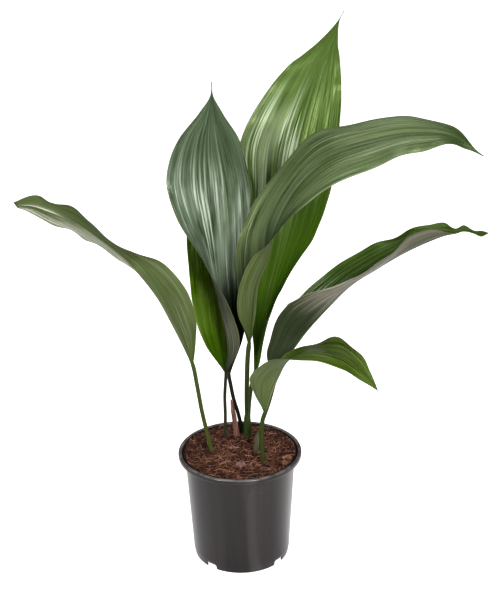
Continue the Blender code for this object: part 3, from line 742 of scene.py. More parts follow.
def leaf_roughness(tree, tones, along, near_stalk, lines, rough):
    """Veins and patches break the gloss, and the foot and the end past the zone are matt."""
    rough = maths(tree, "MULTIPLY_ADD", lines["Veins"], 0.08, rough)
    rough = maths(tree, "MULTIPLY_ADD", lines["Patches"], 0.10, rough)
    rough = maths(tree, "MULTIPLY_ADD", near_stalk, tones["foot_matt"], rough)
    zone_end = tones["zone"][1]
    return maths(tree, "ADD", rough, remap(tree, along, zone_end - 0.05, zone_end + 0.20, 0.0, 0.16))


print("the midrib shows", RIB_SHOWS, "above and", RIB_SHOWS_UNDER, "below")

# %% Material: upper and lower skin
UNDER_GLOSS = 0.3
VEIN_BUMP = 0.0008          # m
VEIN_BUMP_UNDER = 0.0006


def leaf_skin(name, tones, stalk, rough, seed, is_under):
    """The material of one side of a leaf; stalk is the colour at its top and at its foot."""
    material, tree, shader = new_material(name)
    across, along = (add_node(tree, "Attribute", attribute_name=label).outputs["Fac"]
                     for label in ("across", "along"))
    lines = add_node(tree, "Group", [("Across", across), ("Along", along), ("Seed", seed),
                                     ("Lines", tones["lines"])], node_tree=vein_group).outputs
    # Silvery streaks and patches of painted glare lie over the blade's colour.
    silver = painted_glare_mask(tree, tones, across, along, lines)
    colour = mix_colours(tree, silver, blade_colour(tree, tones, lines), tones["silver"])
    # Painted shade darkens the blade towards its tip.
    painted_tip_shade = part(tree, remap(tree, along, 0.68, 0.93), tones["tip_shade"])
    colour = mix_colours(tree, painted_tip_shade, colour, tones["dark"])
    near_stalk = foot_mask(tree, tones, across, along, lines)
    foot = mix_colours(tree, part(tree, lines["Veins"], 0.30), tones["foot"], tones["dark"])
    colour = mix_colours(tree, part(tree, near_stalk, 0.92), colour, foot)
    colour = edges_and_ends(tree, colour, tones, stalk, across, along, is_under)
    tree.links.new(colour, shader.inputs["Base Color"])
    tree.links.new(leaf_roughness(tree, tones, along, near_stalk, lines, rough),
                   shader.inputs["Roughness"])
    bump = add_node(tree, "Bump", [("Height", lines["Height"]), ("Strength", 1.0),
                                   ("Distance", VEIN_BUMP_UNDER if is_under else VEIN_BUMP)])
    tree.links.new(bump.outputs[0], shader.inputs["Normal"])
    shader.inputs["Specular IOR Level"].default_value = UNDER_GLOSS if is_under else tones["gloss"]
    shader.inputs["Specular Tint"].default_value = (*tones["sheen"], 1)
    shader.inputs["Subsurface Weight"].default_value = 0.08
    shader.inputs["Subsurface Radius"].default_value = (0.5, 1.0, 0.2)
    shader.inputs["Subsurface Scale"].default_value = 0.002
    return material


print("vein bump:", VEIN_BUMP / MM, "mm above,", VEIN_BUMP_UNDER / MM, "mm below")

# %% [markdown]
# ## The seven leaves
# No two leaves of a plant are the same green. Young ones are bright, old ones dark and bluish,
# and the arching ones show their olive undersides. One material with a random tint would be
# quicker, but the right colour would no longer be on the right leaf. So each leaf has its own
# colours, seed and amount of ripple, and all of them go through the same functions.

# %% Leaf colours
def skin_tones(dark, light, vein, silver, foot, foot_end=0.0, painted_glare=0.5,
               rib=(0.20, 0.24, 0.12), zone=(0.1, 0.9, 0), lines=18.0,
               sheen=(0.90, 1.0, 0.72), gloss=0.5, lean=0.0, tip_shade=0.2, foot_matt=0.34):
    """dark, light, vein, silver, foot and rib are colours, and sheen tints the gloss.
    foot_end is where the foot's colour ends (share of the blade), lean how far that end leans
    to the right, and foot_matt how matt the foot is. silver is the colour of the painted glare,
    painted_glare how much of it shows, and zone where it is strongest: its start, its end, and -1,
    1 or 0 for the left half, the right half or both. lines counts the veins, gloss is its strength,
    and tip_shade darkens the tip with painted shade."""
    return dict(dark=dark, light=light, vein=vein, silver=silver, foot=foot, foot_end=foot_end,
                painted_glare=painted_glare, rib=rib, zone=zone, lines=lines, sheen=sheen, gloss=gloss,
                lean=lean, tip_shade=tip_shade, foot_matt=foot_matt)


# The front upright leaf's foot is near black and leans to the right: painted shade where the blade
# curls away.
DARK = skin_tones((0.014, 0.031, 0.009), (0.050, 0.082, 0.037), (0.115, 0.155, 0.094),
                  (0.54, 0.62, 0.52), (0.005, 0.009, 0.003), foot_end=0.26, painted_glare=0.9,
                  zone=(0.22, 0.68, 0), sheen=(0.88, 1.0, 0.78), gloss=0.40, lean=0.34,
                  foot_matt=0.75)
BRIGHT = skin_tones((0.034, 0.072, 0.006), (0.080, 0.142, 0.024), (0.15, 0.22, 0.07),
                    (0.66, 0.74, 0.56), (0.050, 0.112, 0.0001), foot_end=0.42, painted_glare=1.0,
                    zone=(0.42, 0.72, -1), sheen=(0.82, 1.0, 0.45), lean=0.12, tip_shade=0.85)
FRESH = skin_tones((0.022, 0.060, 0.0003), (0.050, 0.108, 0.001), (0.085, 0.14, 0.010),
                   (0.30, 0.40, 0.16), (0.027, 0.068, 0.0002), foot_end=0.18, painted_glare=0.4,
                   sheen=(0.8, 1.0, 0.15), gloss=0.3)
YOUNG = skin_tones((0.046, 0.082, 0.005), (0.088, 0.140, 0.012), (0.15, 0.20, 0.05),
                   (0.34, 0.42, 0.22), (0.046, 0.084, 0.006), painted_glare=0.3, sheen=(0.85, 1.0, 0.5),
                   gloss=0.4)
LONG = skin_tones((0.013, 0.034, 0.0006), (0.030, 0.064, 0.003), (0.070, 0.115, 0.020),
                  (0.48, 0.58, 0.40), (0.032, 0.060, 0.010), foot_end=0.08, painted_glare=1.0,
                  zone=(0.16, 0.40, 0), lines=14.0, sheen=(0.80, 1.0, 0.4))
ARCHED = skin_tones((0.025, 0.048, 0.010), (0.062, 0.096, 0.027), (0.150, 0.185, 0.090),
                    (0.30, 0.36, 0.24), (0.018, 0.036, 0.016), foot_end=0.34, painted_glare=0.5,
                    sheen=(0.88, 1.0, 0.62), lean=0.12, tip_shade=0.45)
SPLIT = skin_tones((0.036, 0.054, 0.014), (0.078, 0.104, 0.036), (0.135, 0.165, 0.08),
                   (0.60, 0.59, 0.50), (0.022, 0.042, 0.016), foot_end=0.25, lines=12.0)
SPLIT_UNDER = skin_tones((0.054, 0.078, 0.018), (0.070, 0.098, 0.027), (0.086, 0.112, 0.042),
                         (0.86, 0.84, 0.72), (0.056, 0.080, 0.018), foot_end=0.05, painted_glare=1.5,
                         rib=(0.12, 0.145, 0.06), zone=(0.46, 0.97, 1), lines=12.0)
OLIVE_UNDER = skin_tones((0.066, 0.092, 0.024), (0.088, 0.120, 0.038), (0.125, 0.155, 0.070),
                         (0.30, 0.32, 0.26), (0.062, 0.088, 0.020), foot_end=0.05, painted_glare=0.25,
                         lines=14.0)
FOLD_UNDER = skin_tones((0.040, 0.048, 0.025), (0.082, 0.088, 0.054), (0.13, 0.13, 0.09),
                        (0.38, 0.38, 0.32), (0.044, 0.052, 0.028), foot_end=0.10, painted_glare=0.4)
GREY_UNDER = skin_tones((0.050, 0.062, 0.028), (0.150, 0.142, 0.108), (0.27, 0.245, 0.205),
                        (0.66, 0.61, 0.55), (0.022, 0.036, 0.012), foot_end=0.34, painted_glare=0.7,
                        zone=(0.36, 0.62, 0), lines=14.0, sheen=(1.0, 1.0, 0.92))
GREEN_STALK = ((0.046, 0.062, 0.016), (0.090, 0.100, 0.014))
YELLOW_STALK = ((0.060, 0.080, 0.020), (0.200, 0.220, 0.026))
DARK_STALK = ((0.040, 0.042, 0.034), (0.030, 0.032, 0.020))
UNDER_ROUGH = 0.50
print("tones per skin:", len(DARK))

# %% Which leaf has which
LEAF_LOOKS = {
    "leaf_left_arching": dict(slot="leaf_olive", top=SPLIT, under=SPLIT_UNDER, stalk=YELLOW_STALK,
                              rough=0.36, seed=11, ripple=1.2, pleat=0.8),
    "leaf_front_upright": dict(slot="leaf_dark", top=DARK, under=FOLD_UNDER, stalk=DARK_STALK,
                               rough=0.17, seed=23, ripple=0.8, pleat=1.5),
    "leaf_back_tall": dict(slot="leaf_bright", top=BRIGHT, under=OLIVE_UNDER, stalk=GREEN_STALK,
                           rough=0.18, seed=37, ripple=1.0, pleat=1.5),
    "leaf_right_arching": dict(slot="leaf_mid", top=ARCHED, under=OLIVE_UNDER, stalk=GREEN_STALK,
                               rough=0.27, seed=41, ripple=1.6, pleat=1.1),
    "leaf_back_left": dict(slot="leaf_bright", top=FRESH, under=OLIVE_UNDER, stalk=DARK_STALK,
                           rough=0.22, seed=53, ripple=0.8, pleat=1.2),
    "leaf_right_long": dict(slot="leaf_mid", top=LONG, under=GREY_UNDER, stalk=GREEN_STALK,
                            rough=0.20, seed=67, ripple=2.0, pleat=1.4),
    "leaf_front_low": dict(slot="leaf_bright", top=YOUNG, under=OLIVE_UNDER, stalk=GREEN_STALK,
                           rough=0.25, seed=71, ripple=1.2, pleat=1.0),
}
print("slots of the leaves:", sorted({looks["slot"] for looks in LEAF_LOOKS.values()}))

# %% Make the leaves
for name, looks in LEAF_LOOKS.items():
    piece, length = leaf_piece("fine_" + name, LEAVES[name], looks)
    seed, stalk = looks["seed"], looks["stalk"]
    piece.data.materials.append(
        leaf_skin(name + "_upper", looks["top"], stalk, looks["rough"], seed, False))
    piece.data.materials.append(
        leaf_skin(name + "_under", looks["under"], stalk, UNDER_ROUGH, seed + 5, True))
    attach(piece, "root")
    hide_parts(name)
    print(name, "blade", round(length), "mm long,", len(piece.data.polygons), "faces")

# %% [markdown]
# ## Grain, as a second shared group
# Plastic, bark, husk and dried scales all have some uneven tone and a slightly uneven surface.
# They differ only in scale and in how far the pattern is drawn out along one axis. Each could
# have its own noise nodes, but one group is easier to keep right. It reads the piece's own
# coordinates, stretches them, and gives a mask, a fine mask and a height.

# %% Group: grain
def make_grain_group():
    group, given, out = new_group(
        "grain", [("Place", None), ("Scale", 100.0), ("Stretch", 1.0)], ["Mask", "Fine", "Height"])
    place, scale, stretch = (given.outputs[k] for k in range(3))
    squeeze = add_node(group, "CombineXYZ", [(0, 1.0), (1, 1.0), (2, stretch)]).outputs[0]
    vector = add_node(group, "VectorMath", [(0, place), (1, squeeze)],
                      operation="MULTIPLY").outputs[0]
    coarse = noise_mask(group, vector, scale, 3.0)
    fine_scale = maths(group, "MULTIPLY", scale, 6.0)
    fine = noise_mask(group, vector, fine_scale, 2.0)
    give_out(group, out, {
        "Mask": remap(group, coarse, 0.35, 0.65),
        "Fine": remap(group, fine, 0.35, 0.65),
        "Height": maths(group, "MULTIPLY_ADD", fine, 0.4, coarse),
    })
    return group


grain_group = make_grain_group()
print("group grain gives", [s.name for s in grain_group.interface.items_tree
                            if s.in_out == "OUTPUT"])

# %% Materials made with the grain group
GRAIN_BUMP = 0.6            # strength


def grainy(name, dark, light, rough, scale, stretch, bump_depth, fine_share=0.4, rough_swing=0.12,
           tint=None):
    """A matt or satin material whose colour, gloss and surface follow the grain group.
    tint is (attribute name, colour) for pieces whose tone is stored on the mesh."""
    material, tree, shader = new_material(name)
    place = add_node(tree, "TexCoord").outputs["Object"]
    grain = add_node(tree, "Group", [("Place", place), ("Scale", scale), ("Stretch", stretch)],
                     node_tree=grain_group).outputs
    mask = maths(tree, "MULTIPLY_ADD", grain["Fine"], fine_share,
                 part(tree, grain["Mask"], 1 - fine_share))
    colour = mix_colours(tree, mask, dark, light)
    if tint:
        tone = add_node(tree, "Attribute", attribute_name=tint[0]).outputs["Fac"]
        colour = mix_colours(tree, tone, colour, tint[1])
    tree.links.new(colour, shader.inputs["Base Color"])
    roughness = maths(tree, "MULTIPLY_ADD", grain["Mask"], rough_swing, rough)
    tree.links.new(roughness, shader.inputs["Roughness"])
    bump = add_node(tree, "Bump", [("Height", grain["Height"]), ("Strength", GRAIN_BUMP),
                                   ("Distance", bump_depth)])
    tree.links.new(bump.outputs[0], shader.inputs["Normal"])
    return material


print("grain bump strength:", GRAIN_BUMP)

# %% [markdown]
# ## The nursery pot
# The pot is moulded in one piece from dark recycled plastic. It is a turned shape, so its
# outline is drawn once, as radius and height, and spun round Z. The lip is rolled, and the heel
# tapers in just above the ground. Four drain holes in the raised floor and four notches in the
# skirt let water out, and a Boolean cuts them, as a tool would. Leaving faces out of the mesh
# would be lighter, but then the cut edges would show no thickness. A small plain panel stands
# out under the lip.

# %% Pot sizes
POT_HEIGHT = 130 * MM
RIM_R = 70 * MM
LIP_WIDTH = 4 * MM
LIP_DEPTH = 6 * MM
BODY_TOP_R = 62.4 * MM
HEEL_R = 55.4 * MM
HEEL_Z = 9 * MM
BASE_R = 54 * MM
WALL = 1.5 * MM
FLOOR_Z = 8 * MM
FLOOR = 1.6 * MM
FOOT_PAD_R = 8 * MM
NOTCH = (14 * MM, 6.5 * MM)     # width, height
NOTCH_ANGLE = 50                # degrees from the front, and every 90 from there
DRAIN_R = 5 * MM
DRAIN_CIRCLE_R = 36 * MM
POT_SIDES = 180
PANEL_ANGLES = (9, 24)      # degrees from the front, towards +X
PANEL_Z = (108 * MM, 120 * MM)
PANEL_OUT = 0.35 * MM


def pot_radius(z):
    """Outside of the pot's body at a height."""
    if z < HEEL_Z:
        return BASE_R + (HEEL_R - BASE_R) * z / HEEL_Z
    return HEEL_R + (BODY_TOP_R - HEEL_R) * (z - HEEL_Z) / (POT_HEIGHT - LIP_DEPTH - HEEL_Z)


print("the body is", round(pot_radius(POT_HEIGHT / 2) / MM, 1), "mm in radius at half its height")

# %% Outline of the pot
LIP_ROLL = 1.6 * MM
WALL_HEIGHTS = (2, 6, HEEL_Z / MM, 11, 14, 30, 50, 70, 90, 104, 107.6, 108.4, 113, 119.6, 120.4)


def arc(centre, radius, start, end, steps):
    """Points of (r, z) on an arc; angles in degrees, 0 outwards and 90 up."""
    angles = [math.radians(start + (end - start) * k / steps) for k in range(steps + 1)]
    return [(centre[0] + radius * math.cos(a), centre[1] + radius * math.sin(a)) for a in angles]


def pot_outline():
    """Radius and height of each point, from the foot pad out, up the outside, over the lip
    and down the inside to the middle of the floor."""
    under_lip = POT_HEIGHT - LIP_DEPTH
    roll = LIP_ROLL
    inner = RIM_R - LIP_WIDTH
    skirt_in = pot_radius(FLOOR_Z) - WALL
    floor_top = FLOOR_Z + FLOOR
    outside = [(pot_radius(z * MM), z * MM) for z in WALL_HEIGHTS]
    return ([(0, 0), (FOOT_PAD_R - 0.4 * MM, 0), (FOOT_PAD_R, 0.4 * MM),
             (FOOT_PAD_R + 0.8 * MM, FLOOR_Z - 0.6 * MM), (FOOT_PAD_R + 1.6 * MM, FLOOR_Z),
             (skirt_in - 1.2 * MM, FLOOR_Z), (skirt_in, FLOOR_Z - 1.2 * MM),
             (BASE_R - WALL, 1 * MM), (BASE_R - WALL + 0.4 * MM, 0), (BASE_R - 0.5 * MM, 0),
             (BASE_R, 0.6 * MM)]
            + outside
            + [(BODY_TOP_R - 0.05 * MM, under_lip - 0.8 * MM), (BODY_TOP_R + 0.5 * MM, under_lip)]
            + arc((RIM_R - roll, under_lip + roll), roll, -90, 0, 5)
            + arc((RIM_R - roll, POT_HEIGHT - roll), roll, 0, 90, 6)
            + [(RIM_R - 2.2 * MM, POT_HEIGHT - 0.3 * MM), (RIM_R - 2.7 * MM, POT_HEIGHT - 0.3 * MM),
               (inner + 0.9 * MM, POT_HEIGHT)]
            + arc((inner + 0.9 * MM, POT_HEIGHT - 0.9 * MM), 0.9 * MM, 90, 180, 4)[1:]
            + [(inner - 0.4 * MM, POT_HEIGHT - 1.5 * MM),
               (BODY_TOP_R - WALL + 0.3 * MM, under_lip + 0.8 * MM),
               (BODY_TOP_R - WALL, under_lip + 0.2 * MM), (pot_radius(90 * MM) - WALL, 90 * MM),
               (pot_radius(floor_top + 2 * MM) - WALL, floor_top + 2 * MM),
               (pot_radius(floor_top) - WALL - 2 * MM, floor_top), (0, floor_top)])


print("outline points:", len(pot_outline()))

# %% Spin the outline
def turned(outline, sides):
    """Spin an outline of (r, z) about Z into a closed mesh."""
    bm = bmesh.new()
    verts = [bm.verts.new((r, 0, z)) for r, z in outline]
    edges = [bm.edges.new(pair) for pair in zip(verts, verts[1:])]
    bmesh.ops.spin(bm, geom=verts + edges, cent=(0, 0, 0), axis=(0, 0, 1),
                   angle=math.tau, steps=sides, use_merge=True)
    bmesh.ops.remove_doubles(bm, verts=bm.verts, dist=1e-6)
    bmesh.ops.recalc_face_normals(bm, faces=bm.faces)
    return bm


def finish_mesh(name, bm, material=None, smooth_angle=40):
    """A smooth shaded object of the mesh, with edges sharper than the angle left sharp."""
    mesh = bpy.data.meshes.new(name)
    bm.to_mesh(mesh)
    bm.free()
    mesh.shade_smooth()
    mesh.set_sharp_from_angle(angle=math.radians(smooth_angle))
    if material:
        mesh.materials.append(material)
    return into_scene(name, mesh)


def raise_panel(bm):
    """Push the wall out over a small rectangle under the lip."""
    low, high = (math.radians(a) for a in PANEL_ANGLES)
    for vert in bm.verts:
        x, y, z = vert.co
        angle = math.atan2(x, -y)
        on_wall = math.hypot(x, y) > pot_radius(z) - WALL / 2
        if on_wall and low < angle < high and PANEL_Z[0] < z < PANEL_Z[1]:
            vert.co += Vector((x, y, 0)).normalized() * PANEL_OUT


print("panel:", PANEL_ANGLES[1] - PANEL_ANGLES[0], "degrees wide, out by",
      round(PANEL_OUT / MM, 2), "mm")

# %% Cut the notches and the drain holes
NOTCH_REACH = 12 * MM       # how far a notch cutter goes through the skirt
NOTCH_CORNER = 1.2 * MM


def cut_and_apply(piece, cutters):
    """Take the cutters out of the piece and keep the result as its mesh."""
    for cutter in cutters:
        modifier = piece.modifiers.new("cut", "BOOLEAN")
        modifier.operation = "DIFFERENCE"
        modifier.object = cutter
    bpy.context.view_layer.update()
    graph = bpy.context.evaluated_depsgraph_get()
    result = bpy.data.meshes.new_from_object(piece.evaluated_get(graph))
    piece.modifiers.clear()
    piece.data = result
    for cutter in cutters:
        bpy.data.objects.remove(cutter)


def pot_cutters():
    """A rounded block for each notch and a rod for each drain hole."""
    cutters = []
    for k in range(4):
        angle = math.radians(NOTCH_ANGLE + 90 * k)
        outward = Vector((math.sin(angle), -math.cos(angle), 0))
        bm = bmesh.new()
        bmesh.ops.create_cube(bm, size=1)
        bmesh.ops.scale(bm, vec=(NOTCH[0], NOTCH_REACH, 2 * NOTCH[1]), verts=bm.verts)
        through = [e for e in bm.edges
                   if abs(e.verts[0].co.y - e.verts[1].co.y) > NOTCH_REACH / 2]
        bmesh.ops.bevel(bm, geom=through, offset=NOTCH_CORNER, segments=3, affect="EDGES")
        bmesh.ops.rotate(bm, verts=bm.verts, matrix=Matrix.Rotation(angle, 3, "Z"))
        bmesh.ops.translate(bm, verts=bm.verts, vec=outward * BASE_R)
        cutters.append(finish_mesh("notch_%d" % k, bm))
        bm = bmesh.new()
        bmesh.ops.create_cone(bm, cap_ends=True, segments=32, radius1=DRAIN_R, radius2=DRAIN_R,
                              depth=3 * FLOOR)
        bmesh.ops.translate(bm, verts=bm.verts,
                            vec=outward * DRAIN_CIRCLE_R + Vector((0, 0, FLOOR_Z + FLOOR / 2)))
        cutters.append(finish_mesh("drain_%d" % k, bm))
    return cutters


print("a notch is", [round(side / MM, 1) for side in NOTCH], "mm and a drain hole",
      round(2 * DRAIN_R / MM), "mm")

# %% Pot material and piece
POT_DARK = (0.0100, 0.0066, 0.0072)
POT_LIGHT = (0.028, 0.0200, 0.0212)
# The top of the lip gets a pale painted highlight.
LIP_HIGHLIGHT = (0.23, 0.21, 0.20)
LIP_HIGHLIGHT_SHARE = 0.8              # how much of the painted highlight shows at most


def painted_lip_highlight(material):
    """A painted highlight: a pale band along the top of the lip, broken up by noise."""
    tree = material.node_tree
    shader = tree.nodes["Principled BSDF"]
    place = add_node(tree, "TexCoord").outputs["Object"]
    height = add_node(tree, "SeparateXYZ", [(0, place)]).outputs[2]
    top = remap(tree, height, POT_HEIGHT - 1.6 * MM, POT_HEIGHT - 0.2 * MM)
    patchy = remap(tree, noise_mask(tree, place, 70, 4.0), 0.36, 0.64, 0.45, 1.0)
    plain = shader.inputs["Base Color"].links[0].from_socket
    lit_band = part(tree, maths(tree, "MULTIPLY", top, patchy), LIP_HIGHLIGHT_SHARE)
    tree.links.new(mix_colours(tree, lit_band, plain, LIP_HIGHLIGHT), shader.inputs["Base Color"])


pot_plastic = grainy("recycled_plastic", POT_DARK, POT_LIGHT, rough=0.18, scale=24, stretch=0.05,
                     bump_depth=0.00004, fine_share=0.25, rough_swing=0.08)
painted_lip_highlight(pot_plastic)
pot_mesh = turned(pot_outline(), POT_SIDES)
raise_panel(pot_mesh)
pot = finish_mesh("nursery_pot", pot_mesh, pot_plastic, 35)
cut_and_apply(pot, pot_cutters())
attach(pot, "root")
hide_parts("pot")
print("pot:", len(pot.data.polygons), "faces")

# %% [markdown]
# ## The compost
# Coir compost is a springy mat of husk fibres with crumbs and pith between them. Three things
# make it: a lumpy body that gives the dark gaps, crumbs scattered over it, and fibres that curl
# across it. A body with a bump map alone would look like a flat lid from the side.

# %% Compost body
SOIL_MIDDLE_Z = 125 * MM
SOIL_EDGE_Z = 128 * MM
SOIL_EDGE_R = 64.2 * MM
SOIL_RINGS = 84
SOIL_SIDES = 220
SOIL_ROUGHNESS = 2.6 * MM
SOIL_GAP_BELOW = 0.3 * MM
SOIL_GAP_ROUND = 0.45 * MM


def soil_height(x, y):
    """The same dished, lumpy top as the CAD's, a little higher at the back."""
    share = min(1.0, math.hypot(x, y) / SOIL_EDGE_R)
    mound = SOIL_MIDDLE_Z + (SOIL_EDGE_Z - SOIL_MIDDLE_Z) * share ** 4
    back = 2 * MM * max(0.0, y / (45 * MM)) * (1 - share ** 4)
    u, v = x / MM, y / MM
    lumps = math.sin(u / 6.1 + 1.0) * math.cos(v / 5.3) + 0.6 * math.sin(u / 3.4 - v / 4.1)
    return mound + back + 0.7 * MM * lumps * (1 - share ** 3)


def crumbly_height(x, y):
    """The top with crumbs of three sizes, which fade out towards the wall of the pot."""
    coarse = noise.noise(Vector((x, y, 0)) / (5.5 * MM))
    middle = noise.noise(Vector((x, y, 0.02)) / (2.4 * MM))
    fine = noise.noise(Vector((x, y, 0.05)) / (1.1 * MM))
    fade = min(1.0, (SOIL_EDGE_R - math.hypot(x, y)) / (3 * MM))
    crumb = 0.6 * coarse + 0.6 * middle + 0.35 * fine - 0.15
    return soil_height(x, y) + SOIL_ROUGHNESS * crumb * max(0.0, fade)


def compost_body():
    """A closed body: up the pot's wall, then rings from the edge of the top to its middle."""
    bottom = FLOOR_Z + FLOOR + SOIL_GAP_BELOW
    clear = WALL + SOIL_GAP_ROUND
    sides = [(pot_radius(bottom) - clear - 2 * MM, bottom),
             (pot_radius(bottom + 2.2 * MM) - clear, bottom + 2.2 * MM),
             (BODY_TOP_R - clear, POT_HEIGHT - LIP_DEPTH + 0.1 * MM)]
    bm = bmesh.new()
    angles = [math.tau * k / SOIL_SIDES for k in range(SOIL_SIDES)]
    rings = [[bm.verts.new((r * math.cos(a), r * math.sin(a), z)) for a in angles]
             for r, z in sides]
    for k in range(SOIL_RINGS):
        r = SOIL_EDGE_R * (1 - k / SOIL_RINGS)
        rings.append([bm.verts.new((r * math.cos(a), r * math.sin(a),
                                    crumbly_height(r * math.cos(a), r * math.sin(a))))
                      for a in angles])
    for low, high in zip(rings, rings[1:]):
        for i in range(SOIL_SIDES):
            j = (i + 1) % SOIL_SIDES
            bm.faces.new((low[i], low[j], high[j], high[i]))
    bm.faces.new(rings[0][::-1])
    crown = bm.verts.new((0, 0, crumbly_height(0, 0)))
    for i in range(SOIL_SIDES):
        bm.faces.new((rings[-1][i], rings[-1][(i + 1) % SOIL_SIDES], crown))
    return bm


soil_paint = grainy("coir_pith", (0.005, 0.0016, 0.001), (0.050, 0.014, 0.008), rough=0.85,
                    scale=260, stretch=1.0, bump_depth=0.0008, fine_share=0.5)
soil = finish_mesh("compost", compost_body(), soil_paint, 60)
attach(soil, "root")
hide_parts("soil")
print("compost top between", round(SOIL_EDGE_Z / MM), "and", round(SOIL_MIDDLE_Z / MM), "mm up")

# %% [markdown]
# The loose bits are thousands of tiny solids. Each has its own shape and tone, but they are kept
# in two meshes, crumbs and fibres, because thousands of objects would be slow and nobody would
# move them one by one. The tone is stored as a number on the mesh, and the material mixes its
# colour by it. A hair system would make fibres too, but they would be lines and not solids.

# %% Places and tones of the loose bits
SOIL_REACH = 63.2 * MM


def spot_on_soil(rng, reach=SOIL_REACH):
    """A random place on the compost, as likely near the middle as near the wall."""
    r = reach * math.sqrt(rng.random())
    a = rng.random() * math.tau
    return r * math.cos(a), r * math.sin(a)


def toned_mesh(name, verts, faces, tone_values, material):
    """One mesh of many loose solids, with a tone from 0 to 1 at every point."""
    mesh = bpy.data.meshes.new(name)
    mesh.from_pydata([tuple(v) for v in verts], [], faces)
    mesh.attributes.new("tone", "FLOAT", "POINT").data.foreach_set("value", tone_values)
    mesh.shade_smooth()
    mesh.set_sharp_from_angle(angle=math.radians(50))
    mesh.materials.append(material)
    piece = into_scene(name, mesh)
    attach(piece, "root")
    return piece


print("loose bits lie within", round(SOIL_REACH / MM, 1), "mm of the middle")

# %% Crumbs
CRUMB_COUNT = 900
CRUMB_SEED = 5
CRUMB_RADII = (0.5, 1.6)    # mm, before they are stretched
CRUMB_INSET = 1.5 * MM      # kept clear of the pot's wall


def crumbs(material):
    """Squashed and jittered balls, half sunk in the compost."""
    rng = random.Random(CRUMB_SEED)
    bm = bmesh.new()
    bmesh.ops.create_icosphere(bm, subdivisions=1, radius=1)
    ball = [v.co.copy() for v in bm.verts]
    sides = [[v.index for v in f.verts] for f in bm.faces]
    bm.free()
    verts, faces, tone_values = [], [], []
    for _ in range(CRUMB_COUNT):
        x, y = spot_on_soil(rng, SOIL_REACH - CRUMB_INSET)
        size = rng.uniform(*CRUMB_RADII) ** 1.3 * MM
        shape = Vector((rng.uniform(0.8, 2.2), rng.uniform(0.6, 1.2), rng.uniform(0.35, 0.8)))
        spin = Matrix.Rotation(rng.random() * math.tau, 3, "Z") @ Matrix.Rotation(
            rng.uniform(-0.7, 0.7), 3, "X")
        centre = Vector((x, y, crumbly_height(x, y) + 0.2 * size))
        base, tone = len(verts), rng.random() ** 2
        for co in ball:
            jitter = rng.uniform(0.7, 1.25)
            verts.append(centre + spin @ Vector((co.x * shape.x, co.y * shape.y, co.z * shape.z))
                         * size * jitter)
            tone_values.append(tone)
        faces += [[base + i for i in side] for side in sides]
    return toned_mesh("coir_crumbs", verts, faces, tone_values, material)


crumb_paint = grainy("coir_crumb", (0.020, 0.006, 0.003), (0.085, 0.028, 0.013), rough=0.8,
                     scale=500, stretch=1.0, bump_depth=0.0003, tint=("tone", (0.22, 0.085, 0.042)))
print("crumb faces:", len(crumbs(crumb_paint).data.polygons))

# %% Paths of the fibres
FIBRE_STEPS = 9
FIBRE_LENGTHS = (4, 16)     # mm
CURL_LENGTHS = (12, 24)
CURL_REACH = 48 * MM
FIBRE_LIFT = 3.4 * MM       # how high the highest one arches
FIBRE_BEND = 0.22           # radians a step, spread of the steady bend
FIBRE_WANDER = 0.12


def fibre_path(rng, is_curl):
    """A fibre that starts in the compost, rises a little and comes down again. Long loose
    curls lie in the middle, where the stalks comb them up."""
    x, y = spot_on_soil(rng, CURL_REACH if is_curl else SOIL_REACH)
    heading = rng.random() * math.tau
    bend = rng.gauss(0, FIBRE_BEND)
    length = rng.uniform(*(CURL_LENGTHS if is_curl else FIBRE_LENGTHS)) * MM
    lift = rng.uniform(0.2, 1.0) ** 3 * FIBRE_LIFT
    path = []
    for k in range(FIBRE_STEPS):
        t = k / (FIBRE_STEPS - 1)
        if math.hypot(x, y) > SOIL_REACH:
            x, y = x * 0.97, y * 0.97
        path.append(Vector((x, y, soil_height(x, y) + 0.5 * MM + lift * math.sin(math.pi * t))))
        heading += bend + rng.gauss(0, FIBRE_WANDER)
        x += math.cos(heading) * length / FIBRE_STEPS
        y += math.sin(heading) * length / FIBRE_STEPS
    return path


print("fibres are", FIBRE_LENGTHS, "mm long and curls", CURL_LENGTHS, "mm")

# %% Fibres
FIBRE_COUNT = 1700
CURL_COUNT = 110
FIBRE_SEED = 9
FIBRE_SIDES = 4
FIBRE_RADII = (0.12, 0.28)  # mm
FIBRE_TIP = 0.35            # share of the radius left at both ends


def fibre_rings(path, radius):
    """Rings of points round a path, thinner at both ends."""
    points = []
    for k, point in enumerate(path):
        ahead = path[min(k + 1, FIBRE_STEPS - 1)] - path[max(k - 1, 0)]
        side = Vector((-ahead.y, ahead.x, 0)).normalized()
        up = ahead.cross(side).normalized()
        taper = radius * (FIBRE_TIP if k in (0, FIBRE_STEPS - 1) else 1.0)
        for j in range(FIBRE_SIDES):
            a = math.tau * j / FIBRE_SIDES
            points.append(point + side * taper * math.cos(a) + up * taper * math.sin(a))
    return points


def fibre_faces(base):
    """Faces of one fibre whose first point has the number base."""
    faces = []
    for k in range(FIBRE_STEPS - 1):
        low = base + k * FIBRE_SIDES
        for j in range(FIBRE_SIDES):
            i = (j + 1) % FIBRE_SIDES
            faces.append([low + j, low + j + FIBRE_SIDES, low + i + FIBRE_SIDES, low + i])
    last = base + (FIBRE_STEPS - 1) * FIBRE_SIDES
    faces.append([base + j for j in range(FIBRE_SIDES)])
    faces.append([last + j for j in reversed(range(FIBRE_SIDES))])
    return faces


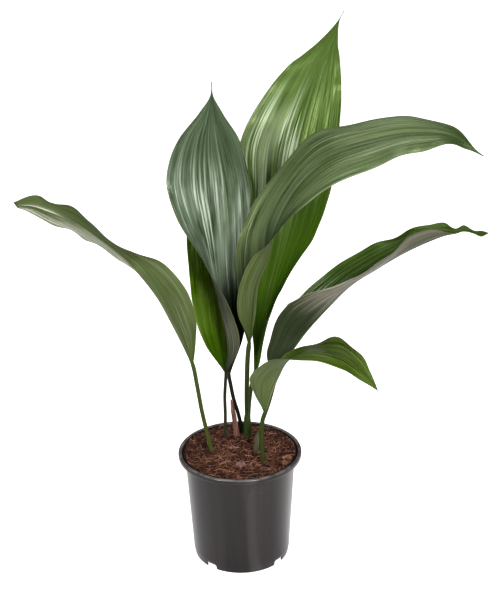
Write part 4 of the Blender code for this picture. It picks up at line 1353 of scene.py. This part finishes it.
def fibres(material):
    """Short fibres all over, then the long pale curls."""
    rng = random.Random(FIBRE_SEED)
    verts, faces, tone_values = [], [], []
    for number in range(FIBRE_COUNT + CURL_COUNT):
        is_curl = number >= FIBRE_COUNT
        path = fibre_path(rng, is_curl)
        radius = rng.uniform(*FIBRE_RADII) * MM
        tone = rng.uniform(0.5, 1.0) if is_curl else rng.random() ** 4
        faces += fibre_faces(len(verts))
        verts += fibre_rings(path, radius)
        tone_values += [tone] * (FIBRE_STEPS * FIBRE_SIDES)
    return toned_mesh("coir_fibres", verts, faces, tone_values, material)


fibre_paint = grainy("coir_fibre", (0.034, 0.0092, 0.0036), (0.11, 0.030, 0.013), rough=0.7,
                     scale=400, stretch=1.0, bump_depth=0.0001, tint=("tone", (0.60, 0.32, 0.21)))
print("fibre faces:", len(fibres(fibre_paint).data.polygons))

# %% [markdown]
# ## Bark chips
# A few bigger chips of bark lie in the compost. A chip is split wood: long grain, a broken end
# and rough flats. A scaled rock from noise would be rounder than that. So a skewed block is
# cut finer and pulled about with noise that is stretched along the grain, and it gets the
# grain finish.

# %% Bark chips
CHIP_CORNER = 0.7 * MM
CHIP_GRAIN = 1.1 * MM       # size of the bumps across the grain
CHIP_ROUGHNESS = 0.45 * MM
CHIP_LIFT = 1.2 * MM        # its middle above the compost
CHIPS = {                   # size (mm), place (mm), turn (degrees), slot
    "bark_chip_1": ((10, 7, 4), (53, -17), 25, "bark_orange"),
    "bark_chip_2": ((7, 5, 3.5), (50.5, -28), -35, "bark_orange"),
    "bark_chip_3": ((11, 7, 4), (1, -29), 10, "bark_grey"),
}
BARK = {
    "bark_orange": grainy("bark_orange", (0.14, 0.060, 0.034), (0.50, 0.27, 0.17), rough=0.75,
                          scale=320, stretch=1.0, bump_depth=0.0006),
    "bark_grey": grainy("bark_grey", (0.13, 0.060, 0.050), (0.36, 0.21, 0.18), rough=0.8,
                        scale=320, stretch=1.0, bump_depth=0.0006),
}


def bark_chip(name, size, place, turn_degrees, slot):
    """A block, narrower at one end and thinner at one side, with a corner broken off."""
    bm = bmesh.new()
    bmesh.ops.create_cube(bm, size=1)
    for vert in bm.verts:
        vert.co.y *= 0.78 if vert.co.x > 0 else 1.0
        vert.co.z *= 1.0 if vert.co.y > 0 else 0.8
        if vert.co.x > 0 and vert.co.y > 0:
            vert.co.x *= 0.7
    bmesh.ops.scale(bm, vec=[length * MM for length in size], verts=bm.verts)
    bmesh.ops.bevel(bm, geom=bm.edges[:], offset=CHIP_CORNER, segments=2, affect="EDGES")
    bmesh.ops.subdivide_edges(bm, edges=bm.edges[:], cuts=3, use_grid_fill=True)
    for vert in bm.verts:
        along_grain = Vector((vert.co.x * 0.3, vert.co.y, vert.co.z)) / CHIP_GRAIN
        vert.co += vert.normal * noise.noise(along_grain) * CHIP_ROUGHNESS
    bmesh.ops.rotate(bm, verts=bm.verts, matrix=turn(turn_degrees, "Z").to_3x3())
    x, y = place[0] * MM, place[1] * MM
    bmesh.ops.translate(bm, verts=bm.verts, vec=(x, y, soil_height(x, y) + CHIP_LIFT))
    piece = finish_mesh("fine_" + name, bm, BARK[slot], 45)
    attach(piece, "root")
    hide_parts(name)
    return piece


for name, facts in CHIPS.items():
    print(name, len(bark_chip(name, *facts).data.polygons), "faces")

# %% [markdown]
# ## Scale leaves
# At the foot of each clump the rhizome sends up scale leaves, papery sheaths that wrap the
# young stalks and then dry. Each is a thin strip curled round its middle line, widest at the
# foot and torn to a point. A cut tube would do for the foot, but it couldn't narrow to a point.
# So rings are swept up a line, as for the leaves, and the edges are frayed.

# %% Guides of the scale leaves
SHEATHS = {                 # line and widths in mm, curl in degrees, the way its back faces
    "sheath_brown": {
        "line": [(-3, 38, 108), (-4, 37, 128), (-5.5, 36, 146), (-7.5, 35, 164), (-8.5, 35, 176)],
        "widths": [8, 7.5, 5.5, 4.5, 2.2],
        "curl": 150,
        "faces": (-0.2, -1, 0),
    },
    "sheath_green": {
        "line": [(10, 34.2, 108), (10, 33.8, 124), (9.8, 32.4, 140), (9.4, 30.6, 156),
                 (9.2, 29, 166)],
        "widths": [10, 10, 8.5, 6, 1.5],
        "curl": 170,
        "faces": (0.1, -1, 0),
    },
    "sheath_olive": {
        "line": [(17.6, 1, 108), (18, 1.6, 122), (19.4, 3.4, 134), (20.4, 4.6, 144), (21, 5.2, 150)],
        "widths": [7, 7, 6, 4, 1],
        "curl": 140,
        "faces": (0, -1, 0),
    },
}
print("scale leaves:", list(SHEATHS))

# %% Sweep a scale leaf
SHEATH_THICK = 0.45         # mm
SHEATH_LEAST_WIDTH = 0.8
SHEATH_LEAST_INSIDE = 0.12
SHEATH_RIB = 0.10           # how far every other column stands out
SHEATH_STATIONS = 60
SHEATH_COLUMNS = 22
FRAY = (0.86, 1.0)          # share of the curl that is left at a torn edge
FRAY_SEED = 12


def sheath_rings(spec):
    """Rings in mm: over the back of the strip, then back along its inside."""
    rng = np.random.default_rng(FRAY_SEED)
    knots = lengths_along(spec["line"])
    at = np.linspace(0, knots[-1], SHEATH_STATIONS)
    line = smooth_through(knots, spec["line"], at)
    widths = smooth_through(knots, [[w] for w in spec["widths"]], at)[:, 0]
    along = unit(np.gradient(line, at, axis=0))
    fray = rng.uniform(*FRAY, (2, SHEATH_STATIONS))
    ribs = SHEATH_RIB * np.cos(np.arange(SHEATH_COLUMNS + 1) * math.pi)
    half_curl = math.radians(spec["curl"]) / 2
    rings = []
    for k, (point, direction, width) in enumerate(zip(line, along, widths)):
        out = unit(np.array(spec["faces"]) - direction * np.dot(spec["faces"], direction))
        side = np.cross(direction, out)
        radius = max(width, SHEATH_LEAST_WIDTH) / (2 * math.sin(min(half_curl, math.pi / 2)))
        inside = max(radius - SHEATH_THICK / 2, SHEATH_LEAST_INSIDE)
        centre = point - out * radius
        angles = np.linspace(-half_curl * fray[0, k], half_curl * fray[1, k], SHEATH_COLUMNS + 1)
        ways = [math.cos(a) * out + math.sin(a) * side for a in angles]
        back = [centre + (radius + SHEATH_THICK / 2 + rib) * way for way, rib in zip(ways, ribs)]
        rings.append(back + [centre + inside * way for way in ways[::-1]])
    return rings


def sheath_piece(name, spec, material):
    bm = bmesh.new()
    rows = [[bm.verts.new(Vector(p) * MM) for p in ring] for ring in sheath_rings(spec)]
    for low, high in zip(rows, rows[1:]):
        for i in range(len(low)):
            j = (i + 1) % len(low)
            bm.faces.new((low[i], low[j], high[j], high[i]))
    bm.faces.new(rows[0][::-1])
    bm.faces.new(rows[-1])
    bmesh.ops.recalc_face_normals(bm, faces=bm.faces)
    piece = finish_mesh("fine_" + name, bm, material, 60)
    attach(piece, "root")
    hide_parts(name)
    return piece


print("rings of a scale leaf:", SHEATH_STATIONS)

# %% Make the scale leaves
SCALE_PAINT = {
    "sheath_brown": grainy("dry_scale", (0.085, 0.030, 0.020), (0.50, 0.27, 0.21), rough=0.6,
                           scale=520, stretch=0.08, bump_depth=0.0004),
    "sheath_green": grainy("green_scale", (0.022, 0.048, 0.008), (0.062, 0.105, 0.020), rough=0.42,
                           scale=480, stretch=0.06, bump_depth=0.0003),
    "sheath_olive": grainy("olive_scale", (0.035, 0.038, 0.018), (0.13, 0.125, 0.07), rough=0.6,
                           scale=520, stretch=0.08, bump_depth=0.0004),
}
for name, spec in SHEATHS.items():
    print(name, len(sheath_piece(name, spec, SCALE_PAINT[name]).data.polygons), "faces")

# %% [markdown]
# ## The rhizome
# The rhizome is the creeping stem that every stalk rises from. A fine mesh could be swept for
# it too, but it lies in the compost, so it keeps its CAD shape. It only gets a barky finish, so
# that it looks right if the compost is taken away.

# %% Rhizome finish
rhizome_paint = grainy("rhizome_skin", (0.12, 0.07, 0.035), (0.34, 0.24, 0.13), rough=0.7,
                       scale=220, stretch=1.0, bump_depth=0.0005)
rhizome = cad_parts["rhizome"]
rhizome.material_slots[0].material = rhizome_paint
print("rhizome:", [round(v / MM) for v in rhizome.dimensions], "mm")
